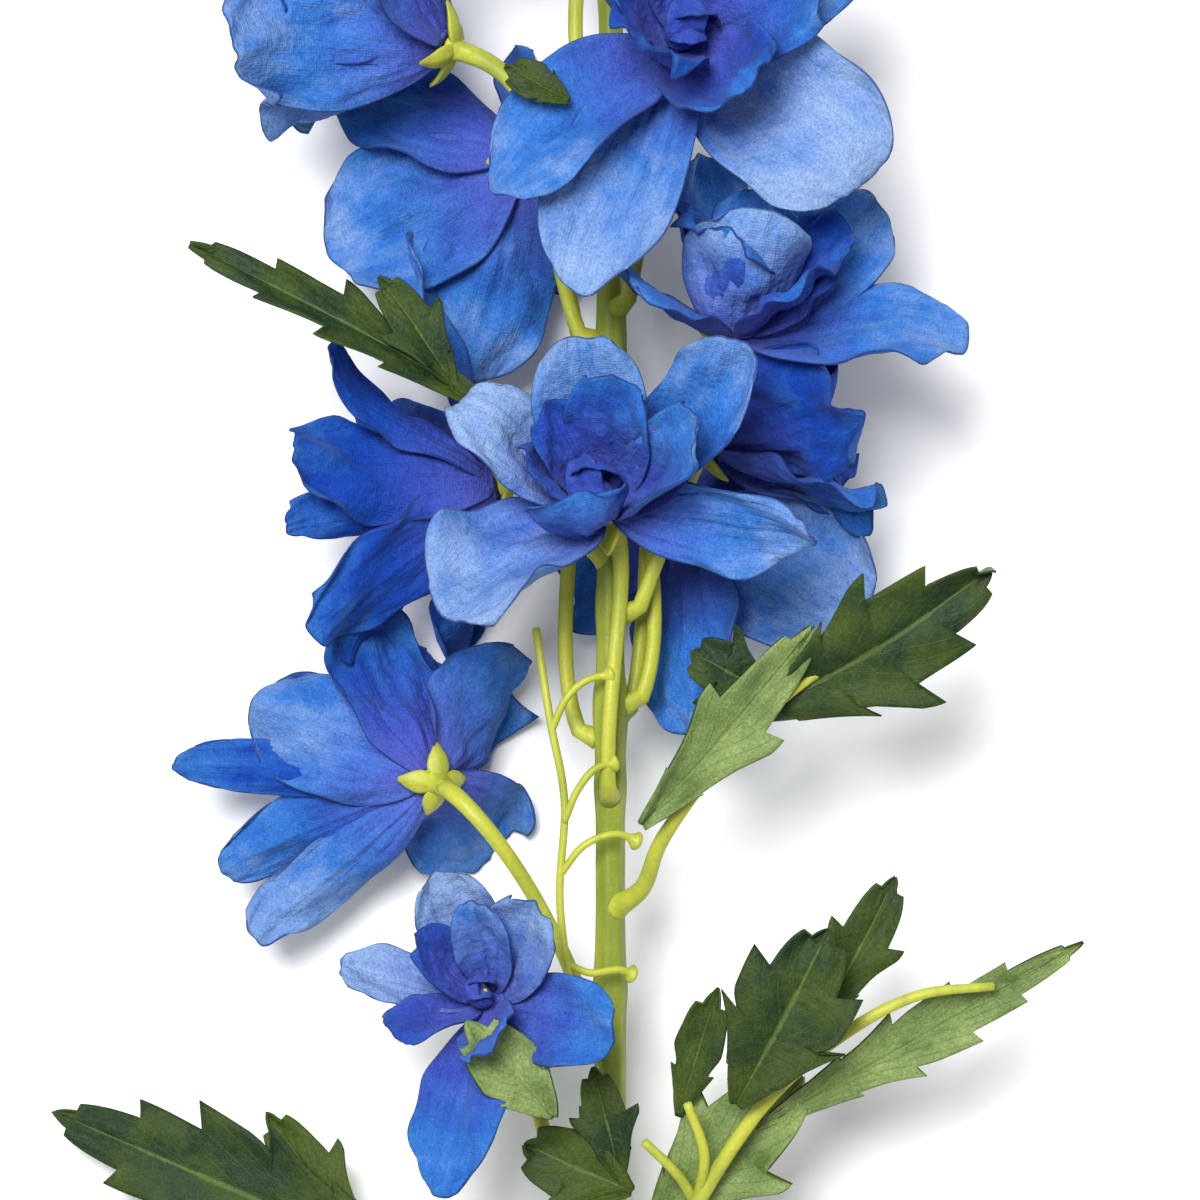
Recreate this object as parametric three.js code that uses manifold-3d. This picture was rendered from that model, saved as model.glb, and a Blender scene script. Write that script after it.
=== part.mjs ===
// A cut delphinium spike, made as an artificial flower and laid down on a flat surface.
// Units are millimetres. +Y runs along the stem from the cut end to the tip, +X is to the
// right, +Z is up from the surface at z = 0.
import * as THREE from 'three';
import { mergeVertices } from 'three/addons/utils/BufferGeometryUtils.js';
import Module from 'manifold-3d';

const wasm = await Module();
wasm.setup();

// ---- Driving dimensions -------------------------------------------------------------------
const stemLength = 446;
const stemRadius = 3.4;
const stemTipRadius = 1.5;
const stemCarryHeight = 32; // height of the stem's middle over the surface, in the blooms
const stalkRadius = 1.3;
const calyxRadius = 2.7;
const calyxHeight = 5;
const petalThickness = 0.7;
const leafThickness = 0.7;
const ribRadius = 1.4;
const spurRadius = 0.9;
const clearance = 0.35; // kept between two pieces that meet
const stackGap = 0.45; // between the stacked webs of one bloom, a little more than the clearance
const pressBand = 2.5; // how gently a petal turns flat where the surface presses it
const finestDetail = 0.12; // smaller steps than this are smoothed out of a finished solid
const layerTilt = 15; // each petal lies over one neighbour and under the other
const hubRadius = 3.1; // the web that joins the petals of one die-cut layer
const stalkStandOff = 1.1; // space between the stem's side and the root of a stalk
const stalkSwing = { outward: 0.16, along: 0.42, intoBloom: 0.34 }; // shares of a stalk's span
const calyxCollar = { long: 0.6, wide: 0.2 }; // where the cup under a bloom grips its stalk
const sepalWidth = 4.2;
const usualPetal = { long: 30, halfWidth: 12 }; // sizes that a clearance is shared out over
const usualLobe = { long: 40, halfWidth: 8 };

// ---- Finishes -----------------------------------------------------------------------------
const finishes = {
  petal: new THREE.MeshStandardMaterial({ color: 0x5482cc, roughness: 0.85, metalness: 0 }),
  innerPetal: new THREE.MeshStandardMaterial({ color: 0x3f66bd, roughness: 0.85, metalness: 0 }),
  core: new THREE.MeshStandardMaterial({ color: 0x4a5cc0, roughness: 0.8, metalness: 0 }),
  stalk: new THREE.MeshStandardMaterial({ color: 0xb0bd45, roughness: 0.5, metalness: 0 }),
  stem: new THREE.MeshStandardMaterial({ color: 0x9dad4c, roughness: 0.5, metalness: 0 }),
  leaf: new THREE.MeshStandardMaterial({ color: 0x3c5528, roughness: 0.8, metalness: 0 }),
};

const spike = new THREE.Group();
const worldUp = new THREE.Vector3(0, 0, 1);
const rad = THREE.MathUtils.degToRad;
const vec = (x, y, z) => new THREE.Vector3(x, y, z);

// ---- Solids -------------------------------------------------------------------------------

// A closed three.js geometry as a solid that can be joined and cut.
function toSolid(geometry) {
  geometry.deleteAttribute('normal');
  geometry.deleteAttribute('uv');
  const merged = mergeVertices(geometry, 1e-4);
  return new wasm.Manifold(new wasm.Mesh({
    numProp: 3,
    vertProperties: Float32Array.from(merged.attributes.position.array),
    triVerts: Uint32Array.from(merged.index.array),
  }));
}

function toGeometry(solid) {
  const mesh = solid.getMesh();
  const geometry = new THREE.BufferGeometry();
  geometry.setAttribute('position', new THREE.BufferAttribute(mesh.vertProperties, 3));
  geometry.setIndex(new THREE.BufferAttribute(mesh.triVerts, 1));
  geometry.computeVertexNormals();
  return geometry;
}

function joined(solids) {
  return solids.reduce((whole, next) => whole.add(next));
}

function largestBody(solid) {
  const bodies = solid.decompose();
  return bodies.reduce((best, next) => (next.volume() > best.volume() ? next : best));
}

// Every placed piece keeps a slightly swollen copy of itself, which later pieces stay out of.
const placed = [];

function boxesMeet(a, b) {
  return [0, 1, 2].every((k) => a.min[k] < b.max[k] && b.min[k] < a.max[k]);
}

function place(name, solid, swollen, finish) {
  let kept = solid.simplify(finestDetail);
  for (const other of placed) {
    if (!boxesMeet(kept.boundingBox(), other.box)) continue;
    kept = kept.subtract(other.swollen).subtract(other.solid);
  }
  kept = largestBody(kept.simplify(finestDetail / 3));
  placed.push({ solid: kept, swollen, box: swollen.boundingBox() });
  const mesh = new THREE.Mesh(toGeometry(kept), finishes[finish]);
  mesh.name = name;
  spike.add(mesh);
}

// A sheet of even thickness over a grid, closed round its rim. pointAt takes a share of the
// length (0 to 1) and of the width (-1 to 1).
function sheetSolid(rows, columns, pointAt, thickness, swell = 0) {
  const step = 0.01;
  const corners = [];
  const sides = [1, -1];
  for (const side of sides) {
    for (const share of rows) {
      for (const across of columns) {
        const centre = pointAt(share, across);
        const along = pointAt(share + step, across).sub(pointAt(share - step, across));
        const over = pointAt(share, across + step).sub(pointAt(share, across - step));
        const normal = along.cross(over).normalize();
        corners.push(centre.addScaledVector(normal, side * (thickness / 2 + swell)));
      }
    }
  }
  const width = columns.length;
  const half = rows.length * width;
  const triangles = [];
  const quad = (a, b, c, d) => triangles.push(a, b, c, a, c, d);
  for (let i = 0; i < rows.length - 1; i += 1) {
    for (let j = 0; j < width - 1; j += 1) {
      const a = i * width + j;
      quad(a, a + width, a + width + 1, a + 1);
      quad(half + a, half + a + 1, half + a + width + 1, half + a + width);
    }
    const left = i * width;
    const right = left + width - 1;
    quad(left, half + left, half + left + width, left + width);
    quad(right, right + width, half + right + width, half + right);
  }
  const last = half - width;
  for (let j = 0; j < width - 1; j += 1) {
    quad(j, j + 1, half + j + 1, half + j);
    quad(last + j, half + last + j, half + last + j + 1, last + j + 1);
  }
  const geometry = new THREE.BufferGeometry();
  geometry.setAttribute('position', new THREE.Float32BufferAttribute(
    corners.flatMap((corner) => corner.toArray()), 3));
  geometry.setIndex(triangles);
  return toSolid(geometry);
}

// A round bar along a curve, with its thickness changing evenly from start to end.
function barSolid(curve, startRadius, endRadius, steps, sides) {
  const section = new THREE.Shape();
  for (let k = 0; k < sides; k += 1) {
    const angle = (k / sides) * Math.PI * 2;
    const x = Math.cos(angle);
    const y = Math.sin(angle);
    if (k === 0) section.moveTo(x, y);
    else section.lineTo(x, y);
  }
  section.closePath();
  const geometry = new THREE.ExtrudeGeometry(section, { steps, extrudePath: curve, bevelEnabled: false });
  const centres = curve.getSpacedPoints(steps);
  const position = geometry.attributes.position;
  const corner = new THREE.Vector3();
  for (let n = 0; n < position.count; n += 1) {
    corner.fromBufferAttribute(position, n);
    let nearest = 0;
    for (let k = 1; k <= steps; k += 1) {
      if (centres[k].distanceTo(corner) < centres[nearest].distanceTo(corner)) nearest = k;
    }
    const radius = THREE.MathUtils.lerp(startRadius, endRadius, nearest / steps);
    corner.sub(centres[nearest]).multiplyScalar(radius).add(centres[nearest]);
    position.setXYZ(n, corner.x, corner.y, corner.z);
  }
  return toSolid(geometry);
}

// ---- Main stem ----------------------------------------------------------------------------

// The stem rests on its cut end and is carried by the blooms behind it.
const stemCurve = new THREE.CatmullRomCurve3([
  vec(0, 0, stemRadius),
  vec(0, stemLength * 0.25, stemCarryHeight * 0.72),
  vec(0, stemLength * 0.45, stemCarryHeight),
  vec(0, stemLength * 0.75, stemCarryHeight),
  vec(-2, stemLength, stemCarryHeight * 0.8),
]);

function stemPointAt(along) {
  let low = 0;
  let high = 1;
  for (let k = 0; k < 30; k += 1) {
    const middle = (low + high) / 2;
    if (stemCurve.getPoint(middle).y < along) low = middle;
    else high = middle;
  }
  return stemCurve.getPoint(low);
}

function addMainStem() {
  const steps = 18;
  const sides = 8;
  const solid = (extra) => barSolid(stemCurve, stemRadius + extra, stemTipRadius + extra, steps, sides);
  place('main_stem', solid(0), solid(clearance), 'stem');
}

// ---- Petals -------------------------------------------------------------------------------

// turn: angle round the bloom's axis; long, wide: size of the flat petal; lean: how far its
// foot stands up from fully open; curl: how much more it leans at its tip; cup: how far its
// sides roll up; twist: turn about its own middle line; sway: how far the tip drifts sideways.
function petal(turn, long, wide, lean, curl, cup, twist = 0, sway = 0) {
  return { turn, long, wide, lean, curl, cup, twist, sway };
}

// Half-width of a petal as a share of its full half-width: narrow foot, broad upper part.
function petalOutline(share) {
  const foot = 0.16;
  const reached = THREE.MathUtils.clamp(share, 0, 1);
  const body = Math.sin(Math.PI * reached ** 1.35 * 0.93);
  return foot * (1 - share) + Math.max(body, 0) ** 0.72;
}

// A petal or leaf that would reach below the surface lies along it instead.
function pressedHeight(height, floor) {
  const over = height - floor;
  if (over > pressBand) return height;
  if (over < -pressBand) return floor;
  return floor + (over + pressBand) ** 2 / (4 * pressBand);
}

// Distance out from the axis and up along it, for a spine that starts at an angle and curls.
function spineAt(shape, share) {
  const start = rad(shape.lean);
  const bend = rad(Math.abs(shape.curl) < 1 ? 1 : shape.curl);
  const angle = start + bend * share;
  return {
    out: (shape.long / bend) * (Math.sin(angle) - Math.sin(start)),
    up: (shape.long / bend) * (Math.cos(start) - Math.cos(angle)),
    angle,
  };
}

function petalPoint(shape, foot, frame, thickness) {
  return (share, across) => {
    const spine = spineAt(shape, share);
    const halfWidth = (shape.wide / 2) * petalOutline(share);
    const roll = rad(Math.max(shape.cup, 1)) * across;
    const rollRadius = halfWidth / rad(Math.max(shape.cup, 1));
    const flatSide = rollRadius * Math.sin(roll);
    const flatLift = rollRadius * (1 - Math.cos(roll));
    const twist = rad(layerTilt + shape.twist * share);
    const side = flatSide * Math.cos(twist) - flatLift * Math.sin(twist) + shape.sway * share ** 2;
    const lift = flatSide * Math.sin(twist) + flatLift * Math.cos(twist);
    const out = foot.out + spine.out - lift * Math.sin(spine.angle);
    const up = foot.up + spine.up + lift * Math.cos(spine.angle);
    const turn = rad(shape.turn);
    const point = vec(
      out * Math.cos(turn) - side * Math.sin(turn),
      out * Math.sin(turn) + side * Math.cos(turn),
      up,
    );
    point.applyQuaternion(frame.turn).add(frame.foot);
    point.z = pressedHeight(point.z, thickness / 2);
    return point;
  };
}

const outerGrid = { rows: [0.3, 0.7, 1], columns: [-1, -0.36, 0.36, 1] };
const innerGrid = { rows: [0.5, 1], columns: [-1, 0, 1] };

// One die-cut layer as a single closed sheet: a round web in the middle, a ring of corners on
// its edge that neighbouring petals share, and the petals that spring from that ring.
function layerSolid(petals, grid, height, frame, swell) {
  const offset = petalThickness / 2 + swell;
  const axis = worldUp.clone().applyQuaternion(frame.turn);
  const foot = { out: hubRadius, up: height };
  const onWeb = (out, degrees) => {
    const angle = rad(degrees);
    const point = vec(out * Math.cos(angle), out * Math.sin(angle), height);
    return point.applyQuaternion(frame.turn).add(frame.foot);
  };
  const cells = grid.columns.length - 1;
  const count = petals.length;
  const corners = [];
  const addPair = (centre, normal) => {
    corners.push(centre.clone().addScaledVector(normal, offset));
    corners.push(centre.clone().addScaledVector(normal, -offset));
    return corners.length - 2;
  };
  const middle = addPair(onWeb(0, 0), axis);
  const ring = [];
  petals.forEach((shape, k) => {
    const before = petals[(k + count - 1) % count].turn - (k === 0 ? 360 : 0);
    const after = petals[(k + 1) % count].turn + (k === count - 1 ? 360 : 0);
    const from = (before + shape.turn) / 2;
    const to = (shape.turn + after) / 2;
    for (let j = 0; j < cells; j += 1) {
      ring.push(addPair(onWeb(hubRadius, from + ((to - from) * j) / cells), axis));
    }
  });
  const triangles = [];
  const sheetQuad = (a, b, c, d) => {
    triangles.push(a, b, c, a, c, d);
    triangles.push(a + 1, c + 1, b + 1, a + 1, d + 1, c + 1);
  };
  const wall = (a, b) => triangles.push(a, a + 1, b + 1, a, b + 1, b);
  const step = 0.01;
  petals.forEach((shape, k) => {
    const pointAt = petalPoint(shape, foot, frame, petalThickness);
    let previous = [];
    for (let j = 0; j <= cells; j += 1) previous.push(ring[(k * cells + j) % ring.length]);
    for (let j = 0; j < cells; j += 1) {
      triangles.push(middle, previous[j], previous[j + 1]);
      triangles.push(middle + 1, previous[j + 1] + 1, previous[j] + 1);
    }
    for (const row of grid.rows) {
      const share = row * (1 + swell / usualPetal.long);
      const current = grid.columns.map((column) => {
        const across = column * (1 + swell / usualPetal.halfWidth);
        const along = pointAt(share + step, across).sub(pointAt(share - step, across));
        const over = pointAt(share, across + step).sub(pointAt(share, across - step));
        return addPair(pointAt(share, across), along.cross(over).normalize());
      });
      for (let j = 0; j < cells; j += 1) {
        sheetQuad(previous[j], current[j], current[j + 1], previous[j + 1]);
      }
      wall(previous[0], current[0]);
      wall(current[cells], previous[cells]);
      previous = current;
    }
    for (let j = 0; j < cells; j += 1) wall(previous[j], previous[j + 1]);
  });
  const geometry = new THREE.BufferGeometry();
  geometry.setAttribute('position', new THREE.Float32BufferAttribute(
    corners.flatMap((corner) => corner.toArray()), 3));
  geometry.setIndex(triangles);
  return toSolid(geometry);
}

function petalLayer(petals, grid, height, frame) {
  const inOrder = [...petals].sort((a, b) => a.turn - b.turn);
  return {
    solid: layerSolid(inOrder, grid, height, frame, 0),
    swollen: layerSolid(inOrder, grid, height, frame, clearance),
  };
}

// ---- Stalk and calyx ----------------------------------------------------------------------

function sepal(turn, long, lean) {
  return { turn, long, wide: sepalWidth, lean, curl: 25, cup: 25, twist: 0, sway: 0 };
}

// The stalk leaves the stem upwards, swings out and enters the bloom along its axis. The cup
// under the petals and its pointed sepals are moulded in one with it.
function stalkCurve(bloom, frame) {
  const rootCentre = stemPointAt(bloom.root);
  const away = vec(frame.foot.x - rootCentre.x, 0, frame.foot.z - rootCentre.z).normalize();
  const start = rootCentre.clone().addScaledVector(away, stemRadius + stalkRadius + stalkStandOff);
  const axis = worldUp.clone().applyQuaternion(frame.turn);
  const end = frame.foot.clone().addScaledVector(axis, -calyxHeight);
  const span = start.distanceTo(end);
  const leave = start.clone().addScaledVector(away, span * stalkSwing.outward);
  leave.y += span * stalkSwing.along;
  const enter = end.clone().addScaledVector(axis, -span * stalkSwing.intoBloom);
  return new THREE.CubicBezierCurve3(start, leave, enter, end);
}

function stalkSolid(bloom, frame, swell) {
  const steps = 7;
  const sides = 6;
  const radius = stalkRadius + swell;
  const bar = barSolid(stalkCurve(bloom, frame), radius, radius, steps, sides);
  const top = -petalThickness / 2 - stackGap + swell;
  const collar = -calyxHeight - calyxCollar.long - swell;
  const profile = [
    new THREE.Vector2(0, collar),
    new THREE.Vector2(stalkRadius + calyxCollar.wide + swell, collar),
    new THREE.Vector2(calyxRadius * 0.8 + swell, -calyxHeight * 0.5),
    new THREE.Vector2(calyxRadius + swell, top),
    new THREE.Vector2(0, top),
  ];
  const cup = new THREE.LatheGeometry(profile, 7);
  cup.rotateX(Math.PI / 2);
  cup.applyQuaternion(frame.turn);
  cup.translate(frame.foot.x, frame.foot.y, frame.foot.z);
  const parts = [bar, toSolid(cup)];
  const sepalFoot = { out: calyxRadius * 0.5, up: -calyxHeight * 0.45 };
  for (let k = 0; k < bloom.sepals.count; k += 1) {
    const shape = sepal(35 + (360 / bloom.sepals.count) * k, bloom.sepals.long, bloom.sepals.lean);
    const at = petalPoint(shape, sepalFoot, frame, petalThickness);
    parts.push(sheetSolid([0.1, 0.6, 0.98], [-1, 1], at, petalThickness, swell));
  }
  return joined(parts);
}

// ---- Blooms -------------------------------------------------------------------------------

// A full round of petals, evenly turned, every second one a little shorter and more upright.
function petalRound(count, firstTurn, long, wide, lean, curl, cup) {
  return Array.from({ length: count }, (unused, k) => {
    const turn = firstTurn + (360 / count) * k;
    const odd = k % 2;
    return petal(turn % 360, long * (1 - 0.07 * odd), wide, lean + 5 * odd, curl, cup);
  });
}

// foot: where the petals spring from, as [right of the stem, along the stem from the cut end,
// above the surface]; face: the direction that the bloom opens towards; root: where its
// stalk leaves the stem, along the stem from the cut end.
const blooms = [
  {
    name: 'bloom_centre', foot: [-1, 231, 45], face: [-0.26, 0.48, 0.84], root: 182,
    sepals: { count: 3, long: 7, lean: -15 },
    outer: [
      petal(12, 40, 25, 26, 18, 74, 16, 6),
      petal(88, 31, 23, 50, 12, 46),
      petal(152, 32, 20, 44, 10, 44, -12, 0),
      petal(230, 36, 31, 6, 20, 44, 0, 3),
      petal(320, 38, 24, 8, -6, 30, 48, 4),
    ],
    inner: [
      petal(56, 27, 19, 56, 18, 46),
      petal(118, 22, 15, 62, 14, 44),
      petal(186, 20, 16, 58, 26, 50),
      petal(268, 22, 23, 26, 70, 56),
      petal(350, 31, 21, 38, 26, 70, 8, 3),
    ],
    core: { long: 15, wide: 12 },
  },
  {
    name: 'bloom_upper_right', foot: [12, 311, 52], face: [0.12, 0.25, 0.96], root: 268,
    sepals: { count: 3, long: 7, lean: -15 },
    outer: [
      petal(36, 38, 30, 26, 10, 40),
      petal(118, 38, 30, 28, 12, 40),
      petal(216, 41, 25, 6, -8, 50, 10, 3),
      petal(247, 46, 26, 2, -12, 40),
      petal(322, 40, 34, 10, 6, 50, 0, -2),
    ],
    inner: [
      petal(10, 29, 24, 34, 28, 60),
      petal(84, 27, 23, 42, 28, 50),
      petal(150, 27, 23, 40, 28, 50),
      petal(224, 26, 23, 46, 40, 52),
      petal(298, 28, 26, 34, 44, 60),
    ],
    core: { long: 15, wide: 12 },
  },
  {
    name: 'bloom_upper_left', foot: [-29, 312, 40], face: [-0.86, 0.32, -0.18], root: 262,
    sepals: { count: 4, long: 8, lean: 8 },
    outer: petalRound(5, 18, 39, 29, 42, 14, 34),
    inner: petalRound(5, 54, 30, 22, 62, 10, 40),
  },
  {
    name: 'bloom_back_left', foot: [-16, 294, 22], face: [-0.45, -0.2, -0.86], root: 258,
    sepals: { count: 3, long: 6, lean: 5 },
    outer: [
      petal(20, 37, 30, 24, 8, 24),
      petal(78, 36, 25, 26, 10, 26),
      petal(176, 32, 26, 30, 16, 30),
      petal(258, 32, 26, 30, 16, 30),
      petal(328, 40, 27, 20, 8, 22),
    ],
    inner: petalRound(4, 30, 22, 20, 52, 20, 44),
  },
  {
    name: 'bloom_right', foot: [22, 261, 42], face: [0.2, 0.86, 0.44], root: 214,
    sepals: { count: 3, long: 6, lean: 0 },
    outer: [
      petal(36, 35, 25, 34, 14, 34),
      petal(112, 32, 26, 44, 14, 36),
      petal(190, 27, 24, 20, 10, 30),
      petal(258, 28, 29, 62, 34, 62),
      petal(340, 39, 26, 18, 4, 44),
    ],
    inner: petalRound(5, 10, 25, 20, 56, 12, 46),
  },
  {
    name: 'bloom_left', foot: [-20, 236, 26], face: [-0.84, -0.06, -0.22], root: 192,
    sepals: { count: 3, long: 6, lean: 5 },
    outer: petalRound(5, 90, 41, 27, 36, 12, 34),
    inner: petalRound(5, 54, 32, 22, 60, 8, 42),
  },
  {
    name: 'bloom_right_back', foot: [18, 242, 28], face: [0.78, 0.34, -0.14], root: 198,
    sepals: { count: 3, long: 6, lean: 5 },
    outer: petalRound(5, 62, 34, 27, 38, 14, 36),
    inner: petalRound(5, 26, 26, 20, 62, 8, 42),
  },
  {
    name: 'bloom_lower_back', foot: [12, 230, 17], face: [0.36, -0.52, -0.72], root: 196,
    sepals: { count: 3, long: 5, lean: 5 },
    outer: [
      petal(30, 32, 25, 26, 12, 30),
      petal(95, 38, 29, 20, 8, 26),
      petal(156, 38, 25, 20, 8, 26),
      petal(232, 30, 24, 26, 12, 30),
      petal(318, 28, 24, 26, 12, 30),
    ],
    inner: petalRound(4, 60, 20, 18, 52, 20, 44),
  },
  {
    name: 'bloom_lower_left', foot: [-31.5, 183, 24], face: [-0.42, 0.24, -0.82], root: 146,
    sepals: { count: 4, long: 8, lean: 8 },
    outer: [
      petal(15, 33, 24, 28, 10, 30),
      petal(87, 28, 29, 22, 10, 32),
      petal(168, 29, 27, 24, 8, 26),
      petal(246, 41, 21, 16, -4, 26),
      petal(312, 38, 22, 22, 6, 34),
    ],
    inner: petalRound(4, 332, 26, 22, 50, 14, 44),
  },
  {
    name: 'bloom_lowest', foot: [-21, 144, 39], face: [-0.3, 0.45, 0.84], root: 92,
    sepals: { count: 3, long: 5, lean: -10 },
    outer: [
      petal(40, 24, 16, 44, 14, 34),
      petal(105, 26, 16, 48, 10, 36),
      petal(170, 26, 13, 24, 8, 40),
      petal(258, 33, 19, 2, -14, 26),
      petal(340, 27, 18, 12, 8, 34),
    ],
    inner: [
      petal(72, 22, 12, 62, 6, 44),
      petal(142, 19, 12, 56, 14, 44),
      petal(212, 19, 12, 34, 10, 40),
      petal(292, 19, 15, 34, 20, 48),
    ],
    core: { long: 9, wide: 6.5 },
  },
  {
    name: 'bloom_top_left', foot: [-12, 348, 42], face: [-0.62, 0.42, 0.6], root: 304,
    sepals: { count: 3, long: 6, lean: -5 },
    outer: petalRound(5, 20, 31, 24, 30, 12, 34),
    inner: petalRound(5, 56, 23, 18, 54, 14, 42),
  },
  {
    name: 'bloom_top_right', foot: [11, 362, 30], face: [0.72, 0.46, 0.12], root: 322,
    sepals: { count: 3, long: 5, lean: 0 },
    outer: petalRound(5, 50, 27, 21, 36, 12, 36),
    inner: petalRound(4, 14, 20, 16, 60, 10, 42),
  },
  {
    name: 'bloom_top', foot: [-6, 389, 36], face: [-0.36, 0.62, 0.68], root: 352,
    sepals: { count: 3, long: 5, lean: 0 },
    outer: petalRound(5, 34, 22, 18, 46, 14, 40),
    inner: petalRound(4, 70, 17, 14, 64, 10, 44),
  },
];

function bloomFrame(bloom) {
  const face = vec(...bloom.face).normalize();
  return { foot: vec(...bloom.foot), turn: new THREE.Quaternion().setFromUnitVectors(worldUp, face) };
}

const outerLayerHeight = 0;
const innerLayerHeight = petalThickness + stackGap;
const coreHeight = innerLayerHeight + petalThickness + stackGap;

function addBloomPetals(bloom) {
  const frame = bloomFrame(bloom);
  const outer = petalLayer(bloom.outer, outerGrid, outerLayerHeight, frame);
  place(`${bloom.name}_outer_petals`, outer.solid, outer.swollen, 'petal');
  const inner = petalLayer(bloom.inner, innerGrid, innerLayerHeight, frame);
  place(`${bloom.name}_inner_petals`, inner.solid, inner.swollen, 'innerPetal');
  if (!bloom.core) return;
  const { long, wide } = bloom.core;
  const petals = [20, 140, 260].map((turn) => petal(turn, long, wide, 74, 30, 60));
  const core = petalLayer(petals, innerGrid, coreHeight, frame);
  place(`${bloom.name}_core`, core.solid, core.swollen, 'core');
}

function addBloomStalk(bloom) {
  const frame = bloomFrame(bloom);
  const swollen = stalkSolid(bloom, frame, clearance);
  place(`${bloom.name}_stalk`, stalkSolid(bloom, frame, 0), swollen, 'stalk');
}

// ---- Buds at the tip ----------------------------------------------------------------------

// A bud is closed: its green stalk and its folded petals are moulded as one piece.
const buds = [
  { name: 'bud_right', foot: [11, 396, 31], face: [0.72, 0.66, 0.2], root: 372, long: 14, wide: 8.5 },
  { name: 'bud_left', foot: [-11, 411, 29], face: [-0.66, 0.74, 0.1], root: 389, long: 12.5, wide: 8 },
  { name: 'bud_front', foot: [4, 423, 34], face: [0.34, 0.86, 0.38], root: 404, long: 11.5, wide: 7 },
  { name: 'bud_tip', foot: [-2, 447, 25.2], face: [-0.1, 0.98, -0.1], root: 0, long: 12, wide: 6.5 },
];

function budBodySolid(bud, frame, swell) {
  const { long, wide } = bud;
  const profile = [
    new THREE.Vector2(0, -swell),
    new THREE.Vector2(wide * 0.3 + swell, 0.4),
    new THREE.Vector2(wide * 0.5 + swell, long * 0.38),
    new THREE.Vector2(wide * 0.36 + swell, long * 0.72),
    new THREE.Vector2(wide * 0.1 + swell, long * 0.95),
    new THREE.Vector2(0, long + swell),
  ];
  const geometry = new THREE.LatheGeometry(profile, 8);
  geometry.rotateX(Math.PI / 2);
  geometry.applyQuaternion(frame.turn);
  geometry.translate(frame.foot.x, frame.foot.y, frame.foot.z);
  return toSolid(geometry);
}

function addBud(bud) {
  const frame = bloomFrame(bud);
  const build = (swell) => {
    const body = budBodySolid(bud, frame, swell);
    if (bud.root === 0) return body;
    const axis = worldUp.clone().applyQuaternion(frame.turn);
    const foot = frame.foot.clone().addScaledVector(axis, calyxHeight + 1);
    const radius = stalkRadius * 0.8 + swell;
    return body.add(barSolid(stalkCurve(bud, { ...frame, foot }), radius, radius, 5, 6));
  };
  place(bud.name, build(0), build(clearance), 'core');
}

// ---- Leaves -------------------------------------------------------------------------------

// A lobe runs from foot to tip over a bowed middle line. face: the way its upper side looks;
// fold: how far its two halves close like a book; teeth: points on each edge.
function lobe(foot, tip, bow, wide, face, fold, teeth) {
  return { foot, tip, bow, wide, face, fold, teeth };
}

function lobeOutline(share) {
  return 0.12 + Math.sin(Math.PI * THREE.MathUtils.clamp(share, 0, 1) ** 0.8) ** 0.8;
}

function lobePoint(shape, thickness) {
  const foot = vec(...shape.foot);
  const tip = vec(...shape.tip);
  const face = vec(...shape.face).normalize();
  const middle = foot.clone().lerp(tip, 0.5).addScaledVector(face, shape.bow);
  const spine = new THREE.QuadraticBezierCurve3(foot, middle, tip);
  const fold = rad(shape.fold);
  return (share, across) => {
    const reached = THREE.MathUtils.clamp(share, 0, 1);
    const along = spine.getTangent(reached);
    const side = face.clone().cross(along).normalize();
    const lift = along.clone().cross(side);
    const tooth = 1 - 0.2 * (reached > 0.05 ? Math.round(reached * shape.teeth * 2) % 2 : 0);
    const half = (shape.wide / 2) * lobeOutline(share) * tooth;
    const point = spine.getPoint(reached).addScaledVector(along, (share - reached) * shape.wide);
    point.addScaledVector(side, -across * half * Math.cos(fold));
    point.addScaledVector(lift, Math.abs(across) * half * Math.sin(fold));
    point.z = pressedHeight(point.z, thickness / 2);
    return point;
  };
}

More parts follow.
